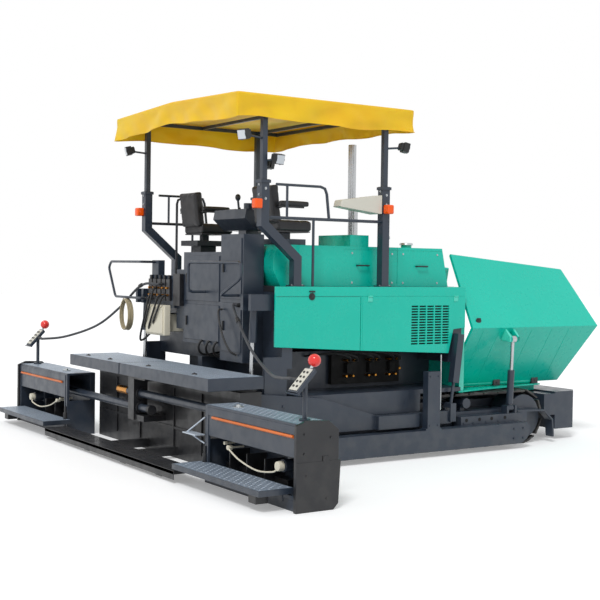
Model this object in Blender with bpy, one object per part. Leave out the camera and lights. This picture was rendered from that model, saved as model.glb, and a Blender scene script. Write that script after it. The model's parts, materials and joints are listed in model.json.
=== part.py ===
"""Asphalt paver on tracks: hopper in front, engine and driving stand, extending screed behind.

Metres. +X is forward (hopper end), +Y the machine's left, +Z up, z = 0 the ground.
The origin is on the ground, midway along the whole length and width.
SIDES holds the name and the sign of Y of each half of the machine.
"""

import math

import bmesh
import bpy
from mathutils import Matrix, Vector

SIDES = (("left", 1), ("right", -1))
GAP = 0.0003  # between pieces that rest on each other
PIN_GAP = 0.0005  # radial clearance round a pin
SLIDE_GAP = 0.001  # clearance round a bar that slides in a bore

# Overall places
FRONT_X = 2.90
SIDE_Y = 1.37  # outer face of the hood's side panels

# Operator's deck and its posts
DECK_Z = 1.80
DECK_T = 0.06
DECK_X = (-1.56, -0.62)
POST_Y = 1.29
POST = 0.09
THIN_POST = 0.054
POST_BORE = THIN_POST + 2 * PIN_GAP
REAR_POST_X = -1.77
REAR_FOOT_X = -1.38
FRONT_POST_X = -0.28
BEND_Z = (2.08, 2.41)
POST_TOP = 2.85
THIN_POST_FOOT = 2.79
SEAT_Z = 2.345  # top of both seats' brackets
HOOP_Y = 1.06
RAIL_R = 0.018
RAIL_Z = 2.48
LOOP_Z = 2.81

# Canopy
CANOPY_X = (-2.13, 0.04)
CANOPY_Y = 1.385
CANOPY_EDGE_Z = 3.67
CANOPY_CROWN = 0.05
VALANCE = 0.26
CLOTH_T = 0.012

# Hood and its side panels
HOOD_Z = 2.22
HOOD_Y = 1.15
HOOD_WALL = 0.03
HOOD_TOP_X = 0.65
HOOD_FOOT_X = 0.74
PANEL_T = 0.025
PANEL_X = (-1.66, 0.81)
PANEL_SPLIT_X = -0.62
SEAM_Z = 1.70
PANEL_LOW_Z = (1.20, 1.14, 1.08)  # at the rear, at the split and at the notch
NOTCH_X = (0.577, 0.643)  # the door's front edge below, and the top of its notch
NOTCH_Z = (1.34, 1.355)
INSIDE_Y = SIDE_Y - PANEL_T - GAP  # how wide the frame is between the panels

# Tracks
TRACK_Y = (1.02, 1.32)
TRACK_X = (-1.02, 1.76)  # sprocket and idler centres
TRACK_R = 0.29
TRACK_T = 0.035
GROUSER = 0.022
SHOES = 34
LOOP_SIDES = 20  # corners of a whole turn of the loop's inner face
TRACK_TOP = 2 * (TRACK_R + GROUSER)
FENDER_Z = (0.655, 0.70)

# Side beams outside the tracks
BEAM_Y = (1.45, 1.60)
BEAM_Z = (0.06, 0.29)
BEAM_X = (-1.45, 1.60)

# Chassis
CHASSIS_Y = 0.80
CHASSIS_X = (-1.45, 2.30)
CHASSIS_Z = (0.26, 0.56)
BODY_TOP = 1.10
BODY_X = 0.78  # front of the frame's upper part
CYL_PIN_R = 0.018
EYE_PIN_R = 0.012  # the pins in the rods' eyes
EYE_PLAY = 0.0125  # room round those pins, as the rods' eyes wander 10 mm about them
EYE_R = 0.040

# Hopper
HOPPER_X = (0.87, 2.62)
KINK_X = 2.84
WING_HINGE = (1.00, 0.68)  # |y|, z
WING_KINK = (1.42, 1.35)
WING_RIM = (1.03, (2.15, 2.00))  # |y|, z at the rear and at the front
WING_T = 0.035
HINGE_R = 0.03
FLOOR_Z = (CHASSIS_Z[1] + GAP, 0.62)

# Wing cylinders
WING_CYL_X = 1.44
WING_CYL_FOOT = (1.43, 0.44)
WING_EYE = (1.465, 1.22)
WING_BARREL = 0.43
WING_ROD = 0.405
CYL_R = 0.040
ROD_R = 0.021

# Push beam and rollers
PUSH_X = (2.30, 2.70)
PUSH_Y = 1.30
PUSH_Z = (0.13, 0.57)
ROLLER_R = 0.09
ROLLER_Z = 0.40
ROLLER_Y = (0.12, 0.86)
ROLLER_PIN_R = 0.02

# Augers
AUGER_X = -1.68
AUGER_Z = 0.36
AUGER_R = 0.18
AUGER_CORE_R = 0.04
AUGER_Y = (0.0525, 1.3095)
BEARING_Y = 1.31
AUGER_TURNS = 4
FLIGHT_T = 0.016

# Tow arms and their pivot
ARM_Y = (1.38, 1.44)
TOW_PIVOT = (0.58, 0.39)  # x, z
TOW_PIN_R = 0.035
JACKET = ((0.625, 0.76), (0.69, 1.29))  # x, z of the levelling cylinder's lower and upper ends

# Screed
SCREED_Y = 1.62
SCREED_X = (-2.20, -1.96)
SCREED_Z = (0.0, 0.80)
COVER_X = (-2.56, -1.955)
COVER_Y = 1.65
COVER_Z = 0.95
COVER_T = 0.03
SKIRT = 0.12
WALK_X = (-2.88, -2.62)
WALK_Z = (0.085, 0.12)
EXT_X = (-2.59, -2.24)
EXT_Y = (1.66, 3.20)
EXT_Z = 0.72
EXT_TRAVEL = 1.20
STEP_X = (-2.90, -2.56)
STEP_Z = (0.14, 0.19)
TUBE_X = -2.40
TUBE_R = 0.042
TUBE_Z = {"left": 0.49, "right": 0.64}
TUBE_END_Y = {"left": -0.12, "right": -0.62}  # how far past the middle line, counted from its own side
GATE_T = 0.035
GATE_X = (-2.62, -2.20)
GATE_Z = 0.75

# Lift cylinders between the frame and the screed
LIFT_Y = 1.20
LIFT_HEAD = (-1.80, 1.66)  # x, z
LIFT_EYE = (-1.83, 0.87)
LIFT_BARREL = 0.42
LIFT_ROD = 0.45

# Guard bars behind the deck
GUARD_R = 0.016
GUARD_X = -2.02
GUARD_Z = 1.62


# Cables from the cabinets to the control stands, as points along each
CABLE_R = 0.014
CABLE_POINTS = 31
CABLES = {
    "left": [(-1.8403, 0.70, 1.78), (-1.88, 0.70, 1.78), (-1.93, 0.70, 1.78), (-1.98, 1.00, 1.76), (-2.00, 1.50, 1.50),
             (-2.10, 1.95, 1.26), (-2.27, 2.50, 1.10), (-2.43, 2.82, 1.055), (-2.43, 2.90, 1.055),
             (-2.43, 2.9797, 1.055)],
    "right": [(-1.8003, -0.92, 1.60), (-1.84, -0.92, 1.60), (-1.88, -0.92, 1.60), (-1.93, -1.10, 1.46),
              (-2.00, -1.50, 1.18), (-2.14, -2.05, 1.02), (-2.34, -2.54, 1.03), (-2.43, -2.82, 1.055),
              (-2.43, -2.90, 1.055), (-2.43, -2.9797, 1.055)],
}


# Helpers -----------------------------------------------------------------------------------------

def clear_scene():
    for obj in list(bpy.data.objects):
        bpy.data.objects.remove(obj)


def material(name, color, roughness, metallic=0.0):
    mat = bpy.data.materials.new(name)
    mat.use_nodes = True
    shader = mat.node_tree.nodes["Principled BSDF"]
    shader.inputs["Base Color"].default_value = (*color, 1.0)
    shader.inputs["Roughness"].default_value = roughness
    shader.inputs["Metallic"].default_value = metallic
    return mat


def closed_mesh(bm):
    """A mesh from bm, its faces turned outwards."""
    bmesh.ops.recalc_face_normals(bm, faces=bm.faces)
    mesh = bpy.data.meshes.new("shape")
    bm.to_mesh(mesh)
    bm.free()
    return mesh


def box(x, y, z):
    """A block between two values on each axis, in either order."""
    bm = bmesh.new()
    bmesh.ops.create_cube(bm, size=1.0)
    low = Vector(min(pair) for pair in (x, y, z))
    high = Vector(max(pair) for pair in (x, y, z))
    for vert in bm.verts:
        vert.co = Vector(
            high[i] if vert.co[i] > 0 else low[i] for i in range(3)
        )
    return closed_mesh(bm)


def prism(outline, axis, ends):
    """A polygon drawn in the plane across axis ('x': y,z; 'y': x,z; 'z': x,y), pushed between ends."""
    place = {
        "x": lambda a, b, c: (c, a, b),
        "y": lambda a, b, c: (a, c, b),
        "z": lambda a, b, c: (a, b, c),
    }[axis]
    bm = bmesh.new()
    rings = [[bm.verts.new(place(a, b, end)) for a, b in outline] for end in ends]
    bm.faces.new(rings[0])
    bm.faces.new(rings[1])
    count = len(outline)
    for i in range(count):
        j = (i + 1) % count
        bm.faces.new((rings[0][i], rings[0][j], rings[1][j], rings[1][i]))
    return closed_mesh(bm)


def loft(first, second):
    """A solid between two outlines of as many 3-D points, each going out along one side and back along the other."""
    bm = bmesh.new()
    rings = [[bm.verts.new(p) for p in ring] for ring in (first, second)]
    last = len(first) - 1
    for ring in rings:
        for i in range(len(first) // 2 - 1):
            bm.faces.new((ring[i], ring[i + 1], ring[last - i - 1], ring[last - i]))
    for i in range(len(first)):
        j = (i + 1) % len(first)
        bm.faces.new((rings[0][i], rings[0][j], rings[1][j], rings[1][i]))
    bmesh.ops.triangulate(bm, faces=bm.faces)
    return closed_mesh(bm)


def disc(x, z, radius, y, sides=16):
    """A wheel across the machine, with corners at its lowest and highest points."""
    corners = (math.tau * k / sides - math.pi / 2 for k in range(sides))
    outline = [(x + radius * math.cos(a), z + radius * math.sin(a)) for a in corners]
    return prism(outline, "y", y)


def rod(start, end, radius, sides=12, end_radius=None):
    """A round bar, or a cone when end_radius is given."""
    start, end = Vector(start), Vector(end)
    bm = bmesh.new()
    bmesh.ops.create_cone(
        bm,
        cap_ends=True,
        segments=sides,
        radius1=radius,
        radius2=radius if end_radius is None else end_radius,
        depth=(end - start).length,
    )
    turn = (end - start).to_track_quat("Z", "Y").to_matrix().to_4x4()
    bmesh.ops.transform(
        bm, matrix=Matrix.Translation((start + end) / 2) @ turn, verts=bm.verts
    )
    return closed_mesh(bm)


def ball(centre, radius, rings=8, sides=14):
    bm = bmesh.new()
    bmesh.ops.create_uvsphere(bm, u_segments=sides, v_segments=rings, radius=radius)
    bmesh.ops.translate(bm, vec=Vector(centre), verts=bm.verts)
    return closed_mesh(bm)


def ribbon(path, width):
    """The outline of a strip of even width along a path of 2-D points, mitred at its bends."""
    path = [Vector(p) for p in path]
    sides = []
    for i, point in enumerate(path):
        before = (point - path[i - 1]).normalized() if i else None
        after = (path[i + 1] - point).normalized() if i + 1 < len(path) else None
        along = before or after
        if before and after:
            along = (before + after).normalized()
        across = Vector((-along.y, along.x))
        reach = width / 2
        if before:
            reach /= across.dot(Vector((-before.y, before.x)))
        sides.append((point + across * reach, point - across * reach))
    return [tuple(a) for a, _ in sides] + [tuple(b) for _, b in reversed(sides)]


def smooth_route(points, count):
    """Points at even steps of a Catmull-Rom curve through the given ones."""
    pts = [Vector(p) for p in points]
    pts = [2 * pts[0] - pts[1]] + pts + [2 * pts[-1] - pts[-2]]
    spans = len(pts) - 3
    found = []
    for k in range(count):
        place = k * spans / (count - 1)
        i = min(int(place), spans - 1)
        t = place - i
        a, b, c, d = pts[i : i + 4]
        found.append(
            0.5
            * (
                2 * b
                + (c - a) * t
                + (2 * a - 5 * b + 4 * c - d) * t**2
                + (3 * b - a - 3 * c + d) * t**3
            )
        )
    return found


def bent_tube(points, radius, corner=0.0, sides=6):
    """A round tube along straight runs, its corners rounded to the radius corner."""
    pts = [Vector(p) for p in points]
    path = [pts[0]]
    for before, here, after in zip(pts, pts[1:], pts[2:]):
        if not corner:
            path.append(here)
            continue
        back = here + (before - here).normalized() * corner
        on = here + (after - here).normalized() * corner
        for step in range(3):
            t = step / 2
            path.append(back * (1 - t) ** 2 + here * 2 * t * (1 - t) + on * t**2)
    path.append(pts[-1])
    bm = bmesh.new()
    rings = []
    for i, point in enumerate(path):
        along = (path[min(i + 1, len(path) - 1)] - path[max(i - 1, 0)]).normalized()
        if i == 0:
            ring_up = Vector((0, 0, 1)) if abs(along.z) < 0.9 else Vector((1, 0, 0))
        side = along.cross(ring_up).normalized()
        up = side.cross(along).normalized()
        ring_up = up
        rings.append(
            [
                bm.verts.new(
                    point
                    + side * radius * math.cos(math.tau * k / sides)
                    + up * radius * math.sin(math.tau * k / sides)
                )
                for k in range(sides)
            ]
        )
    bm.faces.new(rings[0])
    bm.faces.new(rings[-1])
    for a, b in zip(rings, rings[1:]):
        for k in range(sides):
            j = (k + 1) % sides
            bm.faces.new((a[k], a[j], b[j], b[k]))
    return closed_mesh(bm)


def group_of(meshes):
    group = bpy.data.collections.new("operands")
    for mesh in meshes:
        group.objects.link(bpy.data.objects.new("operand", mesh))
    return group


def solid(name, shapes, mat, cuts=(), parent=None, joint_at=None):
    """One closed body: the shapes joined, less the cuts. joint_at becomes the object's origin."""
    first = bpy.data.objects.new("first", shapes[0])
    bpy.context.scene.collection.objects.link(first)
    groups = []
    for operation, meshes in (("UNION", shapes[1:]), ("DIFFERENCE", cuts)):
        if not meshes:
            continue
        group = group_of(meshes)
        groups.append(group)
        modifier = first.modifiers.new(operation.lower(), "BOOLEAN")
        modifier.operation = operation
        modifier.operand_type = "COLLECTION"
        modifier.collection = group
        modifier.solver = "EXACT"
    bpy.context.view_layer.update()
    graph = bpy.context.evaluated_depsgraph_get()
    mesh = bpy.data.meshes.new_from_object(first.evaluated_get(graph))
    bpy.data.objects.remove(first)
    for group in groups:
        for operand in list(group.objects):
            bpy.data.objects.remove(operand)
        bpy.data.collections.remove(group)
    return finish_object(name, mesh, mat, parent, joint_at)


def finish_object(name, mesh, mat, parent=None, joint_at=None):
    mesh.name = name
    mesh.materials.clear()
    mesh.materials.append(mat)
    mesh.shade_smooth()
    mesh.set_sharp_from_angle(angle=math.radians(35))
    obj = bpy.data.objects.new(name, mesh)
    bpy.context.scene.collection.objects.link(obj)
    origin = Vector(joint_at) if joint_at else Vector((0, 0, 0))
    mesh.transform(Matrix.Translation(-origin))
    obj.location = origin
    if parent:
        obj.parent = parent
        obj.matrix_parent_inverse = parent.matrix_world.inverted()
    return obj


def axis_empty(name, place, parent=None):
    """An empty on a joint's axis. What moves with the joint is its child."""
    empty = bpy.data.objects.new(name, None)
    bpy.context.scene.collection.objects.link(empty)
    empty.location = place
    bpy.context.view_layer.update()
    if parent:
        empty.parent = parent
        empty.matrix_parent_inverse = parent.matrix_world.inverted()
        bpy.context.view_layer.update()
    return empty


# Tractor -----------------------------------------------------------------------------------------

def main_frame(mat):
    """Chassis, cross frames, deck ledges, fenders, track carriers and the auger's bearings."""
    cy = (-CHASSIS_Y, CHASSIS_Y)
    under = DECK_Z - DECK_T - GAP
    wide = INSIDE_Y
    shapes = [
        box(CHASSIS_X, cy, CHASSIS_Z),
        box((CHASSIS_X[0], BODY_X), cy, (0.40, BODY_TOP)),
        box((DECK_X[0], -1.44), (-wide, wide), (0.98, under)),
        box((-1.50, PANEL_SPLIT_X), (-wide, wide), (1.60, under)),
        box((0.60, BODY_X), (-wide, wide), (0.98, under)),
        box((-1.75, -1.40), (-0.045, 0.045), (0.20, 1.02)),
        rod((AUGER_X, -0.052, AUGER_Z), (AUGER_X, 0.052, AUGER_Z), 0.10),
    ]
    for _, s in SIDES:
        ledge = (1.10 * s, wide * s)
        shapes += [
            box((-0.70, BODY_X - 0.01), ledge, (1.68, under)),
            box((DECK_X[1] + GAP, BODY_X - 0.01), ledge, (under - 0.01, DECK_Z)),
            box((-1.32, BODY_X - 0.01), (0.78 * s, 1.36 * s), FENDER_Z),
            box((-1.32, 0.20), (1.345 * s, 1.36 * s), (0.46, 0.69)),
            box((-1.76, -1.50), (BEARING_Y * s, wide * s), (0.28, 1.10)),
            box((-1.25, 1.90), (0.78 * s, (0.99 - GAP) * s), (0.30, 0.50)),
            box((-1.90, -1.50), (1.10 * s, 1.148 * s), (1.56, 1.72)),
            box((-1.90, -1.50), (1.252 * s, 1.30 * s), (1.56, 1.72)),
            rod((LIFT_HEAD[0], 1.12 * s, LIFT_HEAD[1]), (LIFT_HEAD[0], 1.28 * s, LIFT_HEAD[1]), CYL_PIN_R),
        ]
    return solid("main_frame", shapes, mat)


def loop_outline(reach):
    """The loop's outline at a distance from the wheels' centres, as (x, z) points of two half circles."""
    points = []
    for centre, start in ((TRACK_X[1], -90), (TRACK_X[0], 90)):
        for step in range(LOOP_SIDES // 2 + 1):
            angle = math.radians(start + 360 / LOOP_SIDES * step)
            points.append(
                (centre + reach * math.cos(angle), TRACK_R + GROUSER + reach * math.sin(angle))
            )
    return points


def along_loop(reach, distance):
    """A point this far along a loop that starts under the idler."""
    run = TRACK_X[1] - TRACK_X[0]
    turn = math.pi * TRACK_R
    total = 2 * (run + turn)
    distance %= total
    middle = TRACK_R + GROUSER
    if distance < turn:
        angle = -math.pi / 2 + distance / TRACK_R
        centre = TRACK_X[1]
    elif distance < turn + run:
        return TRACK_X[1] - (distance - turn), middle + reach
    elif distance < 2 * turn + run:
        angle = math.pi / 2 + (distance - turn - run) / TRACK_R
        centre = TRACK_X[0]
    else:
        return TRACK_X[0] + (distance - 2 * turn - run), middle - reach
    return centre + reach * math.cos(angle), middle + reach * math.sin(angle)


def track(name, s, mat):
    """One loop: its shoes' bars stand out from an even band."""
    run = TRACK_X[1] - TRACK_X[0]
    pitch = 2 * (run + math.pi * TRACK_R) / SHOES
    outline = []
    for shoe in range(SHOES):
        for share, high in ((0.30, 0), (0.38, 1), (0.62, 1), (0.70, 0)):
            outline.append(along_loop(TRACK_R + GROUSER * high, (shoe + share) * pitch))
    y = (TRACK_Y[0] * s, TRACK_Y[1] * s)
    wide = ((TRACK_Y[0] - 0.1) * s, (TRACK_Y[1] + 0.1) * s)
    return solid(name, [prism(outline, "y", y)], mat, [prism(loop_outline(TRACK_R - TRACK_T), "y", wide)])


def track_frame(name, s, mat):
    """Roller frame inside the loop, with its rollers, sprocket and idler."""
    middle = TRACK_R + GROUSER
    inner = TRACK_R - TRACK_T - GAP
    y = (TRACK_Y[0] * s, TRACK_Y[1] * s)
    low = middle - inner
    roller_r = 0.085
    carrier_r = 0.06
    reach = (BEAM_Y[0] - GAP) * s
    shapes = [
        box((TRACK_X[0], TRACK_X[1]), (0.99 * s, 1.335 * s), (0.22, 0.42)),
        disc(TRACK_X[0], middle, inner, y, LOOP_SIDES),
        disc(TRACK_X[1], middle, inner, y, LOOP_SIDES),
        box((0.70, 1.56), (1.30 * s, reach), (0.18, 0.27)),
        box((-1.10, -0.80), (1.30 * s, reach), (0.18, 0.27)),
    ]
    for i in range(6):
        x = TRACK_X[0] + 0.42 + i * 0.39
        shapes.append(disc(x, low + roller_r, roller_r, y, 10))
    for x in (-0.2, 0.9):
        z = middle + inner - carrier_r
        shapes.append(disc(x, z, carrier_r, y, 8))
        shapes.append(box((x - 0.03, x + 0.03), (1.10 * s, 1.25 * s), (0.40, z)))
    return solid(name, shapes, mat)


def side_beam(name, s, mat):
    """Beam outside the track, with the column that guides the tow arm and the wing cylinder's foot."""
    y = (BEAM_Y[0] * s, BEAM_Y[1] * s)
    low, high = BEAM_Z
    front = BEAM_X[1]
    outline = [(BEAM_X[0], low), (front - 0.12, low), (front - 0.04, low + 0.05), (front, low + 0.13),
               (front, high - 0.04), (front - 0.04, high), (BEAM_X[0], high)]
    column = (0.11, 0.28)
    foot_y, foot_z = WING_CYL_FOOT
    shapes = [
        prism(outline, "y", y),
        box(column, (1.515 * s, BEAM_Y[1] * s), (high - 0.01, 0.91)),
        box((column[0] - 0.02, column[1] + 0.02), (1.51 * s, BEAM_Y[1] * s), (high - 0.01, 0.31)),
        box((0.68, 1.60), (1.345 * s, 1.48 * s), (high - 0.015, 0.385)),
        box((WING_CYL_X - 0.075, WING_CYL_X - 0.047), (1.385 * s, 1.475 * s), (0.37, foot_z + 0.03)),
        box((WING_CYL_X + 0.047, WING_CYL_X + 0.075), (1.385 * s, 1.475 * s), (0.37, foot_z + 0.03)),
        rod((WING_CYL_X - 0.06, foot_y * s, foot_z), (WING_CYL_X + 0.06, foot_y * s, foot_z), CYL_PIN_R),
        prism(ribbon([(1.62, 0.40), (1.98, 0.385), (2.11, 0.27), (2.13, 0.07)], 0.02), "y",
              (1.335 * s, 1.45 * s)),
        box((1.55, 1.70), (1.345 * s, 1.45 * s), (high - 0.012, 0.41)),
    ]
    return solid(name, shapes, mat)


def levelling_cylinder(name, s, mat):
    """Cylinder that holds the tow arm's front end: a square jacket above, the rod and its fork below."""
    x, z = TOW_PIVOT
    y = (ARM_Y[0] + ARM_Y[1]) / 2 * s
    fork_y = (ARM_Y[0] - 0.028, ARM_Y[1] + 0.028)
    cheek_t = 0.02
    block = (x - 0.04, x + 0.04)
    foot, head = JACKET
    shapes = [
        prism(ribbon([foot, head], 0.088), "y", (1.368 * s, 1.452 * s)),
        rod((x + 0.008, y, z + 0.12), (foot[0], y, foot[1] + 0.02), 0.018),
        box(block, (fork_y[0] * s, fork_y[1] * s), (z + 0.10, z + 0.15)),
        rod((x, (fork_y[0] + 0.01) * s, z), (x, (fork_y[1] - 0.01) * s, z), TOW_PIN_R, 16),
        box((x + 0.05, x + 0.16), ((INSIDE_Y + GAP) * s, 1.40 * s), (0.99, 1.06)),
    ]
    for low in (fork_y[0], fork_y[1] - cheek_t):
        shapes.append(box(block, (low * s, (low + cheek_t) * s), (z - 0.05, z + 0.12)))
    return solid(name, shapes, mat)


def engine_block(mat):
    return solid("engine_block", [box((-0.50, 0.55), (-0.50, 0.50), (BODY_TOP + GAP, 1.70))], mat)


def engine_hood(mat):
    """Hood over the engine, open below, with its raised box and the tank cover behind it on the right."""
    z = DECK_Z + GAP
    w = HOOD_WALL
    rear = DECK_X[1] + GAP
    back = DECK_X[0] + 0.004
    shell = [(rear, z), (rear, HOOD_Z), (HOOD_TOP_X, HOOD_Z), (HOOD_FOOT_X, z)]
    inside = [(rear + w, z - 0.1), (rear + w, HOOD_Z - w), (HOOD_TOP_X - w, HOOD_Z - w), (HOOD_FOOT_X - w, z - 0.1)]
    tank = [(back + 0.09, z), (back, z + 0.16), (back, 2.08), (back + 0.06, HOOD_Z - 0.02), (back + 0.10, HOOD_Z),
            (rear + 0.1, HOOD_Z), (rear + 0.1, z)]
    shapes = [
        prism(shell, "y", (-HOOD_Y, HOOD_Y)),
        box((-0.60, -0.36), (-HOOD_Y + 0.01, -0.55), (HOOD_Z - 0.01, 2.34)),
        prism(tank, "y", (-HOOD_Y, -0.62)),
        rod((0.0, -0.95, HOOD_Z - 0.01), (0.0, -0.95, 2.33), 0.05, 16),
        rod((0.38, -0.85, HOOD_Z - 0.01), (0.38, -0.85, 2.27), 0.06, 16),
    ]
    cuts = [prism(inside, "y", (-HOOD_Y + w, HOOD_Y - w))]
    return solid("engine_hood", shapes, mat, cuts)


def panel_foot(x):
    """Height of the side panels' lower edge."""
    rear, split, front = PANEL_LOW_Z
    if x < PANEL_SPLIT_X:
        return rear + (split - rear) * (x - PANEL_X[0]) / (PANEL_SPLIT_X - PANEL_X[0])
    return split + (front - split) * (x - PANEL_SPLIT_X) / (NOTCH_X[0] - PANEL_SPLIT_X)


def side_panel(name, s, mat):
    """Fixed rear panel and the strip above the door."""
    x0, x1 = PANEL_X
    split = PANEL_SPLIT_X
    seam = SEAM_Z + PIN_GAP
    outline = [(x0, panel_foot(x0)), (split, panel_foot(split)), (split, seam), (x1, seam), (x1, DECK_Z), (x0, DECK_Z)]
    y = ((SIDE_Y - PANEL_T) * s, SIDE_Y * s)
    return solid(name, [prism(outline, "y", y)], mat)


def side_door(name, s, mat):
    """Louvred door that hinges up at the seam."""
    x0 = PANEL_SPLIT_X + 0.006
    outline = [(x0, panel_foot(x0)), (NOTCH_X[0], panel_foot(NOTCH_X[0])), (NOTCH_X[1], NOTCH_Z[0]),
               (PANEL_X[1], NOTCH_Z[1]), (PANEL_X[1], SEAM_Z), (x0, SEAM_Z)]
    y = ((SIDE_Y - PANEL_T) * s, SIDE_Y * s)
    hinge = (0.1, SIDE_Y * s, SEAM_Z)
    return solid(name, [prism(outline, "y", y)], mat, joint_at=hinge)


def platform(mat):
    """Deck plate with the seats' swing brackets and the left seat's hoop."""
    top = DECK_Z
    hoop = [(-1.50, HOOP_Y, top - 0.03), (-1.50, HOOP_Y, 2.77), (-1.17, HOOP_Y, 2.77), (-1.17, HOOP_Y, top - 0.03)]
    shapes = [
        box(DECK_X, (-INSIDE_Y, INSIDE_Y), (top - DECK_T, top)),
        box((-1.42, -1.22), (0.62, 0.82), (top - 0.01, 2.24)),
        box((-1.50, -1.12), (0.55, 0.95), (2.22, 2.28)),
        box((-1.36, -1.28), (0.68, 0.76), (2.26, SEAT_Z)),
        bent_tube(hoop, 0.015, 0.06),
    ]
    return solid("platform", shapes, mat)


def seat_mount(mat):
    """Bracket that carries the right seat on the tank cover."""
    z = HOOD_Z + GAP
    shapes = [
        box((-1.42, -1.12), (-1.08, -0.70), (z, 2.28)),
        box((-1.34, -1.22), (-0.94, -0.84), (2.26, SEAT_Z)),
    ]
    return solid("seat_mount", shapes, mat)


def seat(name, s, mat):
    """Cushion, backrest and armrests as one plain solid."""
    y = (0.72 if s > 0 else 0.89) * s
    low = SEAT_Z + GAP
    shapes = [
        box((-1.50, -1.04), (y - 0.24, y + 0.24), (low, low + 0.13)),
        prism([(-1.52, low + 0.02), (-1.40, low + 0.02), (-1.46, 2.83), (-1.57, 2.83)], "y", (y - 0.22, y + 0.22)),
    ]
    for side in (-1, 1):
        arm = y + side * 0.262
        shapes.append(box((-1.50, -1.14), (arm - 0.035, arm + 0.035), (2.60, 2.67)))
        shapes.append(box((-1.50, -1.42), (arm - 0.03 * side, y + side * 0.20), (2.56, 2.65)))
    return solid(name, shapes, mat)


def control_console(mat):
    """Sloped desk on a pedestal between the seats, with its lever."""
    shapes = [
        box((-1.36, -1.20), (-0.28, -0.12), (DECK_Z + GAP, 2.40)),
        prism([(-1.52, 2.50), (-1.50, 2.60), (-1.08, 2.56), (-1.06, 2.47), (-1.20, 2.38), (-1.38, 2.38)], "y",
              (-0.52, 0.16)),
        rod((-1.34, -0.10, 2.57), (-1.36, -0.10, 2.72), 0.012, 10),
        ball((-1.36, -0.10, 2.73), 0.028, 5, 8),
        rod((-1.44, -0.46, 2.56), (-1.44, -0.46, 2.66), 0.05),
    ]
    return solid("control_console", shapes, mat)


def rear_cabinet(mat):
    """Cabinets across the back of the deck, with the two guard hoops."""
    x = (-1.80, DECK_X[0] - GAP)
    g = GUARD_X
    shapes = [
        box(x, (-0.98, -0.52), (1.02, 2.32)),
        box(x, (-0.54, 0.30), (1.16, 2.14)),
        box(x, (0.28, 0.46), (1.30, 1.95)),
        box((-1.84, -1.57), (0.44, 1.06), (1.52, 1.88)),
        box((-1.84, -1.76), (0.84, 1.00), (1.86, 2.05)),
        bent_tube([(-1.78, -0.90, 1.70), (g, -0.90, 1.70), (g, -1.31, 1.88), (g, -1.31, 2.03), (g, -0.22, 2.03),
                   (g, -0.22, 1.72), (-1.78, -0.22, 1.72)], GUARD_R, 0.05),
        bent_tube([(-1.82, 0.93, GUARD_Z), (g, 0.93, GUARD_Z), (g, 1.60, GUARD_Z), (g, 1.79, 1.96), (g, 1.73, 2.03),
                   (g, 0.92, 2.03), (-1.80, 0.92, 2.03)], GUARD_R, 0.03),
    ]
    return solid("rear_cabinet", shapes, mat)


def electrical_box(mat):
    shapes = [
        box((-1.92, -1.84 - GAP), (0.52, 0.98), (1.21, 1.55)),
        box((-1.85, DECK_X[0] - GAP), (0.60, 0.90), (1.25, 1.45)),
    ]
    return solid("electrical_box", shapes, mat)


def post_frame(name, s, mat):
    """Lower posts of one side with the handrail between them. The upper ends are hollow."""
    y = POST_Y * s
    ends = (y - POST / 2, y + POST / 2)
    foot = DECK_Z + GAP
    rear = [(REAR_FOOT_X, foot), (REAR_FOOT_X, BEND_Z[0]), (REAR_POST_X, BEND_Z[1]), (REAR_POST_X, POST_TOP)]
    half = POST_BORE / 2
    shapes = [
        prism(ribbon(rear, POST), "y", ends),
        box((FRONT_POST_X - POST / 2, FRONT_POST_X + POST / 2), ends, (foot, POST_TOP)),
        box((REAR_FOOT_X - 0.08, REAR_FOOT_X + 0.08), (y - 0.05, y + 0.05), (foot, foot + 0.012)),
        box((FRONT_POST_X - 0.08, FRONT_POST_X + 0.08), (y - 0.05, y + 0.05), (foot, foot + 0.012)),
        bent_tube([(REAR_POST_X, y, RAIL_Z), (FRONT_POST_X, y, RAIL_Z)], RAIL_R),
        bent_tube([(-1.62, y, LOOP_Z), (-1.02, y, LOOP_Z), (-0.98, y, RAIL_Z)], 0.015, 0.07),
        bent_tube([(-1.49, y, LOOP_Z), (-1.49, y, RAIL_Z)], 0.013),
        bent_tube([(-1.17, y, RAIL_Z), (-1.17, y, foot)], 0.014),
    ]
    cuts = [
        box((x - half, x + half), (y - half, y + half), (BEND_Z[1] + 0.03, POST_TOP + 0.1))
        for x in (REAR_POST_X, FRONT_POST_X)
    ]
    return solid(name, shapes, mat, cuts)


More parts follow.
